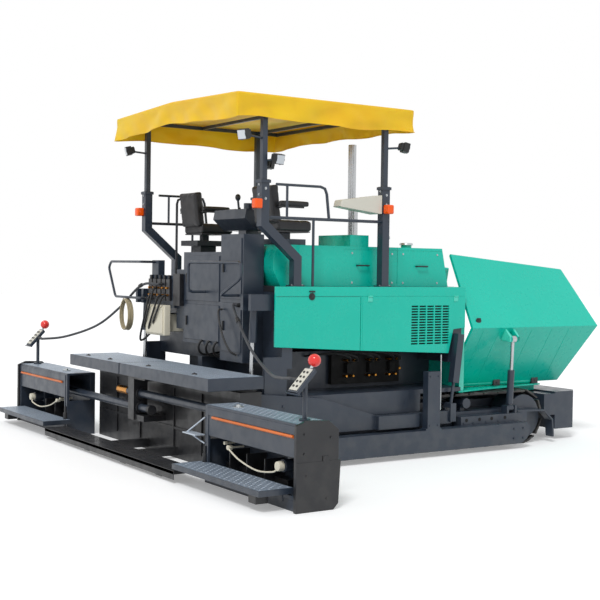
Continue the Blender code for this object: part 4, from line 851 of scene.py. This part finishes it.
def hopper_fittings():
    """Rim, ribs, ears and latch hole of the wings, the edge of the wall, and the conveyors; the ears and the wall's
    edge are in a lighter teal as painted highlight.
    """
    for side, s in SIDES:
        body = f"hopper_wing_{side}"
        rim = Shape()
        rim.tube([(0.875, 1.03 * s, 2.145), (2.615, 1.03 * s, 1.996)], 0.020, 16)
        put(f"wing_rim_{side}", rim.mesh(), "teal_paint", body)
        ribs = Shape()
        for x in (1.04, 1.28, 1.78, 2.10, 2.38):
            ribs.plate([(1.065 * s, 0.745), (1.422 * s, 1.315), (1.398 * s, 1.330), (1.041 * s, 0.760)], "x",
                       (x, x + 0.012))
        put(f"wing_ribs_{side}", ribs.mesh(), "teal_paint", body, 0.002)
        ears = Shape()
        for x in (1.365, 1.490):
            ears.plate([(1.505 * s, 1.19), (1.505 * s, 1.25), (1.412 * s, 1.345), (1.33 * s, 1.21)], "x",
                       (x - 0.004, x + 0.018))
        ears.bar((1.362, 1.465 * s, 1.22), (1.508, 1.465 * s, 1.22), 0.0125, 20)
        # the ears in the lighter teal: painted highlight
        put(f"wing_ears_{side}", ears.mesh(), "teal_painted_highlight", body, 0.003)
        # the latch hole is a dark squashed ball on the wing's face, in the black rubber finish: painted shade in the
        # hole
        hole = Shape()
        hole.ball((0.98, 1.402 * s, 1.43), 0.034, (1.2, 0.25, 0.9))
        hole.block((0.955, 1.005), (1.402 * s, 1.414 * s), (1.445, 1.458))
        put(f"wing_latch_{side}", hole.mesh(), "black_rubber", body, 0.001)
        hinge = Shape()
        for x in (0.94, 1.55, 2.16):
            hinge.block((x, x + 0.10), (0.965 * s, 1.05 * s), (0.652, 0.72))
            hinge.bolts([(x + 0.05, 1.05 * s, 0.685)], (0, s, 0), 0.010)
        put(f"wing_hinges_{side}", hinge.mesh(), "black_paint", "root", 0.004)
    wall = Shape()
    wall.block((0.846, 0.853), (-1.13, 1.13), (1.785, 1.80))
    for s in (-1, 1):
        wall.block((0.779, 0.846), (1.318 * s, 1.324 * s), (0.66, 1.35))
    # the wall's edge strips in the lighter teal: painted highlight
    put("hopper_wall_edge", wall.mesh(), "teal_painted_highlight", "root", 0.002)
    chain = Shape()
    for s in (-1, 1):
        for row in range(12):
            x = 0.90 + row * 0.115
            chain.block((x, x + 0.022), (0.13 * s, 0.71 * s), (0.6205, 0.640))
        for y in (0.16, 0.42, 0.68):
            chain.block((0.86, 2.25), (y * s - 0.012, y * s + 0.012), (0.6205, 0.632))
    put("conveyor_bars", chain.mesh(), "worn_steel", "root", 0.003)
    flap = Shape()
    flap.plate([(2.30, 0.62), (2.315, 0.63), (2.49, 0.80), (2.475, 0.81)], "y", (-0.93, 0.93))
    put("front_flap", flap.mesh(), "black_rubber", "root", 0.003)


# Screed ------------------------------------------------------------------------------------------

def lozenges(shape, x, y, z, pitch=0.040, half=(0.0135, 0.0042), rise=0.0018):
    """Raised lozenges in rows that lean left and right in turn, over a flat stretch at z."""
    rows = int((x[1] - x[0]) / pitch)
    columns = int((y[1] - y[0]) / pitch)
    for i in range(rows):
        for k in range(columns):
            centre = Vector((x[0] + (i + 0.5) * (x[1] - x[0]) / rows, y[0] + (k + 0.5) * (y[1] - y[0]) / columns, z))
            lean = math.radians(45 if (i + k) % 2 else -45)
            along = Vector((math.cos(lean), math.sin(lean), 0))
            across = Vector((-along.y, along.x, 0))
            corners = [along * half[0], across * half[1], -along * half[0], -across * half[1]]
            foot = [shape.bm.verts.new(centre + c - Vector((0, 0, 0.0008))) for c in corners]
            top = [shape.bm.verts.new(centre + c * 0.45 + Vector((0, 0, rise))) for c in corners]
            shape.bm.faces.new(foot)
            shape.bm.faces.new(top)
            for a in range(4):
                b = (a + 1) % 4
                shape.bm.faces.new((foot[a], foot[b], top[b], top[a]))
    return shape


def screed_top():
    """Tread-plate cover in two leaves with its seam, latches and lozenges."""
    x0, y0, _ = COVER_LOW
    x1, y1, z = COVER_HIGH
    cuts = Shape()
    cuts.block((x0 - 0.1, x1 + 0.1), (0.292, 0.314), (z - 0.020, z + 0.1))
    cuts.block((x0 - 0.1, x0 + 0.020), (0.292, 0.314), (0.5, 2))
    remade("screed_cover", "slate_paint", 0.004, cuts)
    top = Shape()
    for y in ((y0 + 0.006, 0.286), (0.320, y1 - 0.006)):
        top.block((x0 + 0.006, x1 - 0.006), y, (z - 0.001, z + 0.0012))
    put("cover_plates", top.mesh(), "tread_plate", "screed", 0.0004)
    treads = lozenges(Shape(), (x0 + 0.015, x1 - 0.015), (y0 + 0.015, y1 - 0.015), z + 0.0012)
    # lozenges lighter than their plate: painted highlight
    put("cover_treads", treads.mesh(), "tread_painted_highlight", "screed")
    fittings = Shape()
    for y in (-1.2, -0.2, 0.75, 1.35):
        fittings.bar((x0 + 0.10, y, z), (x0 + 0.10, y, z + 0.012), 0.030, 24, 0.022)
        fittings.bolt((x0 + 0.10, y, z + 0.010), (0, 0, 1), 0.010)
    put("cover_fittings", fittings.mesh(), "black_paint", "screed", 0.002)


def walkway():
    """Dark tread on the rear walkway, with its folded edge, brackets and feet."""
    x0, x1, z = -2.88, -2.62, 0.12
    deck = lozenges(Shape(), (x0 + 0.012, x1 - 0.012), (-1.58, 1.58), z, 0.036)
    put("walkway_treads", deck.mesh(), "dark_tread", "screed")
    edge = Shape()
    edge.block((x0, x0 + 0.006), (-1.6, 1.6), (0.035, 0.119))
    for y in (-1.25, -0.45, 0.45, 1.25):
        edge.block((x0 + 0.02, x0 + 0.11), (y - 0.06, y + 0.06), (0.02, 0.085))
    put("walkway_edge", edge.mesh(), "black_paint", "screed", 0.003)


def telescopes():
    """Bands, clamps and sleeve on the extension tubes, and what fills the screed's back."""
    bracket = Shape()
    for z in (0.49, 0.64):
        bracket.bar((-2.40, 0.095, z), (-2.40, 0.075, z), 0.062, 32)
        bracket.bar((-2.40, 0.245, z), (-2.40, 0.265, z), 0.062, 32)
        for k in range(6):
            a = math.tau * k / 6
            bracket.bolt((-2.40 + 0.052 * math.cos(a), 0.262, z + 0.052 * math.sin(a)), (0, 1, 0), 0.006)
    for y in (-0.9, -0.3, 0.5, 1.1):
        bracket.block((-2.215, -2.199), (y, y + 0.02), (0.10, 0.72))
    bracket.block((-2.212, -2.199), (-1.55, 1.55), (0.30, 0.325))
    put("tube_clamps", bracket.mesh(), "black_paint", "screed", 0.003)
    sleeve = Shape()
    sleeve.bar((-2.40, 0.38, 0.64), (-2.40, 0.62, 0.64), 0.0445, 32)
    put("brass_sleeve", sleeve.mesh(), "brass", "extension_right", 0.004)
    ends = Shape()
    ends.bar((-2.40, -0.125, 0.49), (-2.40, -0.175, 0.49), 0.050, 32)
    for k in range(6):
        a = math.tau * k / 6
        ends.bolt((-2.40 + 0.034 * math.cos(a), -0.172, 0.49 + 0.034 * math.sin(a)), (0, -1, 0), 0.006)
    put("tube_end", ends.mesh(), "black_paint", "extension_left", 0.002)
    step = Shape()
    step.block((-2.70, -2.597), (-1.664, -1.42), (0.435, 0.447))
    step.bar((-2.598, -1.664, 0.60), (-2.66, -1.44, 0.445), 0.007, 10)
    step.bar((-2.598, -1.664, 0.36), (-2.66, -1.50, 0.438), 0.007, 10)
    # the step in the lighter tread: painted highlight
    put("light_step", step.mesh(), "tread_painted_highlight", "extension_right", 0.002)


def extensions():
    """Orange bar, recessed plate, heater motor, step treads, brackets and bolts of each extension."""
    for side, s in SIDES:
        body = f"extension_{side}"
        y0, y1 = EXT_Y
        x0, x1 = EXT_X
        bar = Shape().bar((x0 - 0.004, 1.80 * s, 0.612), (x0 - 0.004, 3.15 * s, 0.612), 0.013, 16)
        put(f"orange_bar_{side}", bar.mesh(), "orange_paint", body)
        tray = Shape()
        tray.block((x0 - 0.008, x0 + 0.004), (1.70 * s, 3.19 * s), (0.632, 0.700))
        tray.block((x0 + 0.012, x0 + 0.024), (1.88 * s, 2.95 * s), (0.45, 0.60))
        for y in (1.70, 3.165):
            tray.block((x0 - 0.006, x0 + 0.02), (y * s, (y + 0.028) * s), (0.10, 0.70))
        tray.block((x0 - 0.004, x0 + 0.02), (1.70 * s, 3.19 * s), (0.09, 0.13))
        put(f"extension_trim_{side}", tray.mesh(), "slate_paint", body, 0.003)
        top = Shape().block((x0 + 0.012, x1 - 0.012), ((y0 + 0.015) * s, (y1 - 0.015) * s), (EXT_Z - 0.001, EXT_Z + 0.002))
        put(f"extension_top_{side}", top.mesh(), "tread_plate", body, 0.0005)
        low, high = sorted(((y0 + 0.03) * s, (y1 - 0.03) * s))
        treads = lozenges(Shape(), (x0 + 0.03, x1 - 0.03), (low, high), EXT_Z + 0.002)
        # lozenges lighter than their plate: painted highlight
        put(f"extension_treads_{side}", treads.mesh(), "tread_painted_highlight", body)
        low, high = sorted((1.615 * s, 3.105 * s))
        plate = Shape().block((-2.892, -2.568), (low, high), (0.1885, 0.1915))
        put(f"step_plate_{side}", plate.mesh(), "tread_plate", body, 0.0005)
        treads = lozenges(Shape(), (-2.885, -2.575), (low + 0.01, high - 0.01), 0.1915)
        # lozenges lighter than their plate: painted highlight
        put(f"step_treads_{side}", treads.mesh(), "tread_painted_highlight", body)
        feet = Shape()
        feet.block((-2.86, -2.74), (2.89 * s, 3.01 * s), (0.06, 0.145))
        feet.bar((-2.60, 1.68 * s, 0.19), (-2.60, 1.68 * s, 0.27), 0.024, 20)
        feet.bar((-2.60, 1.68 * s, 0.26), (-2.60, 1.68 * s, 0.34), 0.014, 16)
        put(f"step_feet_{side}", feet.mesh(), "black_paint", body, 0.004)
        motor = Shape()
        motor.bar((-2.524, 2.88 * s, 0.33), (-2.578, 2.88 * s, 0.33), 0.045, 32, 0.040)
        motor.bar((-2.524, 2.04 * s, 0.37), (-2.572, 2.04 * s, 0.37), 0.022, 20)
        motor.bar((-2.524, 1.96 * s, 0.40), (-2.560, 1.96 * s, 0.40), 0.016, 20)
        motor.tube([(-2.560, 2.86 * s, 0.30), (-2.575, 2.80 * s, 0.27), (-2.575, 2.55 * s, 0.245),
                    (-2.570, 2.25 * s, 0.29), (-2.565, 2.05 * s, 0.36)], 0.008, 10, count=24)
        motor.bar((-2.530, 2.04 * s, 0.37), (-2.40, 2.04 * s, 0.37), 0.010, 10)
        motor.bar((-2.530, 1.96 * s, 0.40), (-2.40, 1.96 * s, 0.40), 0.010, 10)
        put(f"heater_motor_{side}", motor.mesh(), "cream_paint", body, 0.003)
        inner = Shape()
        inner.block((-2.40, -2.295), (1.72 * s, 2.78 * s), (0.10, 0.18))
        for y in (1.95, 2.25, 2.55):
            inner.block((-2.50, -2.295), (y * s, (y + 0.016) * s), (0.09, 0.34))
        put(f"heater_box_{side}", inner.mesh(), "black_paint", body, 0.003)
        knob = Shape().bar((-2.45, 2.02 * s, EXT_Z), (-2.45, 2.02 * s, EXT_Z + 0.012), 0.048, 28)
        knob.bar((-2.45, 2.02 * s, EXT_Z + 0.010), (-2.45, 2.02 * s, EXT_Z + 0.030), 0.022, 20, 0.018)
        put(f"extension_cap_{side}", knob.mesh(), "zinc", body, 0.002)
        gate_bolts = Shape()
        face = 3.2352 * s
        gate_bolts.bolts([(x, face, z) for x, z in ((-2.54, 0.64), (-2.28, 0.60), (-2.54, 0.48))], (0, s, 0), 0.010)
        gate_bolts.bolts([(x, 3.2402 * s - 0.003 * s, z) for x, z in ((-2.52, 0.30), (-2.32, 0.10))], (0, s, 0), 0.009)
        gate_bolts.block((-2.36, -2.30), (3.20 * s, 3.242 * s), (0.40, 0.45))
        put(f"gate_bolts_{side}", gate_bolts.mesh(), "black_paint", body)


def control_stands():
    """Pole, tilted panel with rows of square buttons, and the red ball grip, in the stand's place."""
    for side, s in SIDES:
        body = f"extension_{side}"
        x, y = -2.42, 3.05 * s
        pole = Shape()
        pole.bar((x, y, 0.7225), (x, y, 1.06), 0.020, 24)
        pole.bar((x, y, 0.7225), (x, y, 0.738), 0.048, 32)
        pole.bolts([(x + 0.034 * math.cos(a), y + 0.034 * math.sin(a), 0.737) for a in (0.8, 2.4, 3.9, 5.5)],
                   (0, 0, 1), 0.006)
        put(f"stand_pole_{side}", pole.mesh(), "slate_paint", body, 0.002)
        panel = Shape()
        panel.plate([(x - 0.13, 0.97), (x - 0.11, 0.94), (x + 0.07, 1.13), (x + 0.05, 1.16)], "y",
                    (y - 0.07, y + 0.07))
        panel.plate([(x - 0.15, 0.962), (x - 0.135, 0.962), (x - 0.115, 0.945), (x - 0.13, 0.945)], "y",
                    (y - 0.12, y + 0.075))
        put(f"stand_panel_{side}", panel.mesh(), "slate_paint", body, 0.004, (f"control_stand_{side}",))
        face = Shape()
        slope = Vector((0.18, 0, 0.19)).normalized()
        out = Vector((-slope.z, 0, slope.x))
        centre = Vector((x - 0.04, y, 1.065))
        turn = Matrix((slope, Vector((0, 1, 0)), out)).transposed().to_4x4()
        half = Vector((0.115, 0.056, 0.003))
        made = bmesh.ops.create_cube(face.bm, size=2.0)["verts"]
        bmesh.ops.transform(
            face.bm, matrix=Matrix.Translation(centre + out * 0.004) @ turn @ Matrix.Diagonal((*half, 1)), verts=made
        )
        put(f"stand_face_{side}", face.mesh(), "pale_paint", body, 0.001)
        keys = Shape()
        for row in range(4):
            for column in range(2):
                at = centre + slope * (row * 0.05 - 0.075) + Vector((0, column * 0.05 - 0.025, 0)) + out * 0.009
                keys.bar(at - out * 0.004, at + out * 0.006, 0.012, 20, 0.010)
        put(f"stand_keys_{side}", keys.mesh(), "black_rubber", body, 0.001)
        grip = Shape()
        grip.bar((x + 0.05, y, 1.14), (x + 0.08, y, 1.20), 0.013, 16)
        put(f"stand_stem_{side}", grip.mesh(), "zinc", body)
        ball = Shape().ball((x + 0.09, y, 1.22), 0.055, rings=24, sides=40)
        put(f"stand_ball_{side}", ball.mesh(), "red_plastic", body)


# Soft pieces -------------------------------------------------------------------------------------

CABLES = {
    "left": [(-1.8403, 0.70, 1.78), (-1.88, 0.70, 1.78), (-1.93, 0.70, 1.78), (-1.98, 1.00, 1.76), (-2.00, 1.50, 1.50),
             (-2.10, 1.95, 1.26), (-2.27, 2.50, 1.10), (-2.43, 2.82, 1.055), (-2.43, 2.90, 1.055),
             (-2.43, 2.9797, 1.055)],
    "right": [(-1.8003, -0.92, 1.60), (-1.84, -0.92, 1.60), (-1.88, -0.92, 1.60), (-1.93, -1.10, 1.46),
              (-2.00, -1.50, 1.18), (-2.14, -2.05, 1.02), (-2.34, -2.54, 1.03), (-2.43, -2.82, 1.055),
              (-2.43, -2.90, 1.055), (-2.43, -2.9797, 1.055)],
}
CABLE_R = 0.014
CABLE_POINTS = 31
SPLIT_AT = 10  # the point of the smooth route where the two lengths of each cable meet, in a coupling


def control_cables():
    """Each cable in two lengths that meet in a coupling: an inner one on no body, and an outer one that rides on the
    screed.
    """
    for side, s in SIDES:
        route = smooth_route(CABLES[side], CABLE_POINTS)
        inner, outer = route[: SPLIT_AT + 1], route[SPLIT_AT:]
        meet = route[SPLIT_AT]
        near = cable_tube(inner)
        near_piece = put(f"control_cable_{side}_inner", near, "cable_sheath", None)
        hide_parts(f"control_cable_{side}")
        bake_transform(near_piece)
        coupling = Shape()
        along = (route[SPLIT_AT + 1] - route[SPLIT_AT - 1]).normalized()
        coupling.bar(meet - along * 0.030, meet + along * 0.030, 0.021, 24)
        coupling.bar(meet - along * 0.012, meet + along * 0.012, 0.025, 6)
        joint = put(f"cable_coupling_{side}", coupling.mesh(), "black_rubber", "screed", 0.002)
        far = put(f"control_cable_{side}_outer", cable_tube(outer), "cable_sheath", "screed")
        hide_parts(f"control_cable_{side}")
        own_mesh(far)
        glands = Shape()
        glands.bar(route[0], route[0] + Vector((-0.045, 0, 0)), 0.024, 24, 0.017)
        put(f"cable_gland_{side}", glands.mesh(), "black_rubber", "root", 0.002)
        boots = Shape()
        boots.bar(route[-1] - Vector((0, 0.05 * s, 0)), route[-1], 0.017, 24, 0.023)
        put(f"cable_boot_{side}", boots.mesh(), "black_rubber", f"extension_{side}", 0.002)


def cable_tube(points):
    shape = Shape()
    shape.tube(smooth_route(points, len(points) * 3), CABLE_R, 14)
    return shape.mesh()


def spare_coil():
    """Four turns of beige cable tied under the guard bar, ending in a connector."""
    low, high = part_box("cable_coil")
    centre = (low + high) / 2
    radius, turns, per_turn = 0.009, 3.5, 24
    width, tall = (high.y - low.y) / 2 - radius, (high.z - low.z) / 2 - radius
    points = []
    for i in range(int(turns * per_turn) + 1):
        a = math.pi / 2 + math.tau * i / per_turn
        x = centre.x + (i / per_turn - turns / 2) * 2.1 * radius
        points.append(Vector((x, centre.y + math.cos(a) * width, centre.z + math.sin(a) * tall)))
    shape = Shape()
    shape.tube(points, radius, 10)
    coil = put("spare_cable", shape.mesh(), "beige_cord", "root", replaces=("cable_coil",))
    plug = Shape()
    tip = points[-1] - points[-2]
    tip.normalize()
    plug.bar(points[-1] - tip * 0.012, points[-1] + tip * 0.022, 0.013, 16)
    connector = put("spare_cable_end", plug.mesh(), "zinc", "root", 0.002)
    ties = Shape()
    ties.tube([Vector((centre.x - 0.05, centre.y, high.z - 0.012)), Vector((centre.x, centre.y, high.z - 0.035)),
               Vector((centre.x + 0.05, centre.y, high.z - 0.012)), Vector((centre.x, centre.y, high.z + 0.034))],
              0.003, 6, closed=True)
    put("coil_tie", ties.mesh(), "black_rubber", "root")


def canopy():
    """One sheet laid over the roof frame: it sags between the bars, and its valance hangs in loose folds."""
    low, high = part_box("canopy_cover")
    edge = 3.67
    crown = high.z - edge
    drop = edge - low.z
    thick = 0.003
    inset = 0.002
    nx, ny, nd = 72, 92, 12
    x0, x1, y0, y1 = low.x + inset, high.x - inset, low.y + inset, high.y - inset

    def roof(u, v):
        x, y = x0 + (x1 - x0) * u, y0 + (y1 - y0) * v
        across = 1 - abs(2 * v - 1)
        free = min(1.0, max(0.0, (across - 0.10) / 0.5))
        z = edge + 0.001 + (crown - 0.004) * across
        bays = [(bar - x0) / (x1 - x0) for bar in CANOPY_BARS]
        for a, b in zip(bays, bays[1:]):
            if a <= u <= b:
                z -= 0.026 * math.sin(math.pi * (u - a) / (b - a)) ** 2 * free
        corner = max(0.0, 1 - 3.2 * min(u, 1 - u)) * max(0.0, 1 - 3.2 * min(v, 1 - v))
        fold = math.sin(26 * (u + 0.7 * v)) * 0.005 * corner + noise.noise(Vector((x * 3, y * 5, 0.3))) * 0.006
        edge_share = min(1.0, 8 * min(u, 1 - u, v, 1 - v))
        return Vector((x, y, z + abs(fold) * edge_share))

    def valance(rim, out, place, depth):
        """A point on the hanging part, depth 0 at the rim and 1 at the hem."""
        tension = noise.noise(Vector((place * 1.6, 0.7, 3.1)))
        folds = math.sin(place * 8.3 + depth * 3.2 + 3 * tension) * 0.015 + math.sin(place * 21 - depth * 4.0) * 0.006
        folds += noise.noise(Vector((place * 5.0, depth * 2.5, 1.7))) * 0.016
        if folds < 0:
            folds *= min(1.0, max(0.0, (depth - 0.2) / 0.25))
        push = folds * depth ** 0.5
        hem = (0.012 * math.sin(place * 3.1 + 0.6) + 0.008 * math.sin(place * 7.7)) * depth
        return rim + out * push + Vector((0, 0, -(drop - 0.016) * depth + hem))

    bm = bmesh.new()
    top = [[bm.verts.new(roof(i / nx, k / ny)) for k in range(ny + 1)] for i in range(nx + 1)]
    for i in range(nx):
        for k in range(ny):
            bm.faces.new((top[i][k], top[i + 1][k], top[i + 1][k + 1], top[i][k + 1]))
    ring = [top[i][0] for i in range(nx)] + [top[nx][k] for k in range(ny)]
    ring += [top[i][ny] for i in range(nx, 0, -1)] + [top[0][k] for k in range(ny, 0, -1)]
    outs = [Vector((0, -1, 0))] * nx + [Vector((1, 0, 0))] * ny + [Vector((0, 1, 0))] * nx + [Vector((-1, 0, 0))] * ny
    total = len(ring)
    above = ring
    place = [0.0]
    for a, b in zip(ring, ring[1:]):
        place.append(place[-1] + (b.co - a.co).length)
    for step in range(1, nd + 1):
        row = []
        for j, vert in enumerate(ring):
            out = (outs[j] + outs[j - 1]).normalized()
            row.append(bm.verts.new(valance(vert.co, out, place[j], step / nd)))
        for j in range(total):
            n = (j + 1) % total
            bm.faces.new((above[j], row[j], row[n], above[n]))
        above = row
    bmesh.ops.recalc_face_normals(bm, faces=bm.faces)
    bmesh.ops.smooth_vert(bm, verts=bm.verts, factor=0.35, use_axis_x=True, use_axis_y=True, use_axis_z=True)
    mesh = bpy.data.meshes.new("cloth")
    bm.to_mesh(mesh)
    bm.free()
    piece = put("canopy_sheet", mesh, "canopy_fabric", "canopy", replaces=("canopy_cover",))
    solidify = piece.modifiers.new("cloth", "SOLIDIFY")
    solidify.thickness = thick
    solidify.offset = 0
    smooth = piece.modifiers.new("smooth", "SUBSURF")
    smooth.levels = smooth.render_levels = 1
    hem = Shape()
    hem.tube([v + Vector((0, 0, 0.004)) for v in hem_line(mesh, total)], 0.0045, 8, closed=True)
    hem_piece = put("canopy_hem", hem.mesh(), "canopy_fabric", "canopy")


def hem_line(mesh, count):
    """The sheet's last ring of points, which is its hem."""
    return [v.co.copy() for v in list(mesh.vertices)[-count:]]


def pad(name, size, place, turn, look, body, puff, replaces=(), seams=()):
    """A stuffed pad: a rounded block swelled by cloth simulation, then smoothed. Channels are drawn in afterwards."""
    bm = bmesh.new()
    made = bmesh.ops.create_cube(bm, size=1.0)["verts"]
    bmesh.ops.transform(bm, matrix=Matrix.Diagonal((*size, 1.0)), verts=made)
    bmesh.ops.bevel(bm, geom=bm.edges, offset=min(size) * 0.3, segments=4, affect="EDGES", profile=0.6)
    mesh = bpy.data.meshes.new(name)
    bm.to_mesh(mesh)
    bm.free()
    obj = bpy.data.objects.new(name, mesh)
    bpy.context.scene.collection.objects.link(obj)
    remesh = obj.modifiers.new("voxels", "REMESH")
    remesh.mode = "VOXEL"
    remesh.voxel_size = 0.007
    apply_modifiers(obj)
    before = [v.co.copy() for v in obj.data.vertices]
    cloth = obj.modifiers.new("cloth", "CLOTH")
    cloth.settings.use_pressure = True
    cloth.settings.uniform_pressure_force = 4
    cloth.settings.effector_weights.gravity = 0
    scene = bpy.context.scene
    scene.frame_start, scene.frame_end = 1, 20
    for step in range(1, 21):
        scene.frame_set(step)
    graph = bpy.context.evaluated_depsgraph_get()
    swelled = [v.co.copy() for v in obj.evaluated_get(graph).data.vertices]
    obj.modifiers.remove(cloth)
    scene.frame_set(1)
    for vert, start, end in zip(obj.data.vertices, before, swelled):
        move = end - start
        if move.length > puff:
            move = move.normalized() * puff
        vert.co = start + move
    for vert in obj.data.vertices:
        for axis, at, depth, width in seams:
            near = abs(vert.co[axis] - at)
            if near < width * 3:
                inward = Vector((0, 0, -1 if vert.co.z > 0 else 0))
                vert.co += inward * depth * math.exp(-((near / width) ** 2))
    smooth = obj.modifiers.new("smooth", "SUBSURF")
    smooth.levels = smooth.render_levels = 1
    apply_modifiers(obj)
    obj.data.transform(Matrix.Translation(place) @ turn)
    mesh = obj.data
    bpy.data.objects.remove(obj)
    piece = put(name, mesh, look, body, replaces=replaces)
    return piece


def apply_modifiers(obj):
    bpy.context.view_layer.update()
    graph = bpy.context.evaluated_depsgraph_get()
    made = bpy.data.meshes.new_from_object(obj.evaluated_get(graph))
    obj.modifiers.clear()
    obj.data = made


def seats():
    """Seat cushion, backrest and armrests of both seats, with their steel frames and slide rails."""
    for side, s in SIDES:
        low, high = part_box(f"seat_{side}")
        y = (low.y + high.y) / 2
        foot = low.z
        flat = Matrix.Identity(4)
        lean = Matrix.Rotation(math.radians(-7), 4, "Y")
        pad(f"seat_cushion_{side}", (0.42, 0.44, 0.10), (-1.265, y, foot + 0.068), flat, "seat_vinyl", "root", 0.010,
            (f"seat_{side}",), ((1, 0.13, 0.008, 0.010), (1, -0.13, 0.008, 0.010), (0, 0.08, 0.006, 0.010)))
        upright = lean @ Matrix.Rotation(math.radians(90), 4, "Y")
        pad(f"seat_back_{side}", (0.40, 0.41, 0.085), (-1.485, y, foot + 0.285), upright, "seat_vinyl", "root", 0.010,
            (), ((1, 0.12, 0.007, 0.010), (1, -0.12, 0.007, 0.010), (0, 0.05, 0.006, 0.010)))
        for end in (-1, 1):
            arm = y + end * 0.262
            pad(f"armrest_{side}_{'outer' if end * s > 0 else 'inner'}", (0.34, 0.055, 0.050), (-1.32, arm, 2.635),
                flat, "seat_vinyl", "root", 0.004, ())
        frame_shape = Shape()
        for end in (-1, 1):
            arm = y + end * 0.262
            frame_shape.bar((-1.47, y + end * 0.205, 2.60), (-1.47, arm, 2.60), 0.014, 16)
            frame_shape.block((-1.49, -1.20), (arm - 0.012, arm + 0.012), (2.592, 2.610))
        frame_shape.block((-1.46, -1.10), (y - 0.20, y + 0.20), (foot + 0.0005, foot + 0.018))
        frame_shape.tube([(-1.08, y - 0.14, foot + 0.012), (-1.04, y - 0.14, foot + 0.012),
                          (-1.04, y + 0.02, foot + 0.012)], 0.006, 8)
        put(f"seat_steel_{side}", frame_shape.mesh(), "black_paint", "root", 0.002)


def main():
    """Everything in the order: cords, soft goods, then steel."""
    control_cables()
    spare_coil()
    canopy()
    seats()
    plain_nodes()
    tracks()
    panels()
    hood()
    exhaust()
    posts()
    operator_stand()
    rear_fittings()
    side_bays()
    undercarriage()
    hopper_fittings()
    screed_top()
    walkway()
    telescopes()
    extensions()
    control_stands()


random.seed(7)
SLOT_OF = {p["node"]: p["material_slot"] for p in frame["record"]["subparts"]}
make_camera()
make_stage()
looks = make_looks()
main()
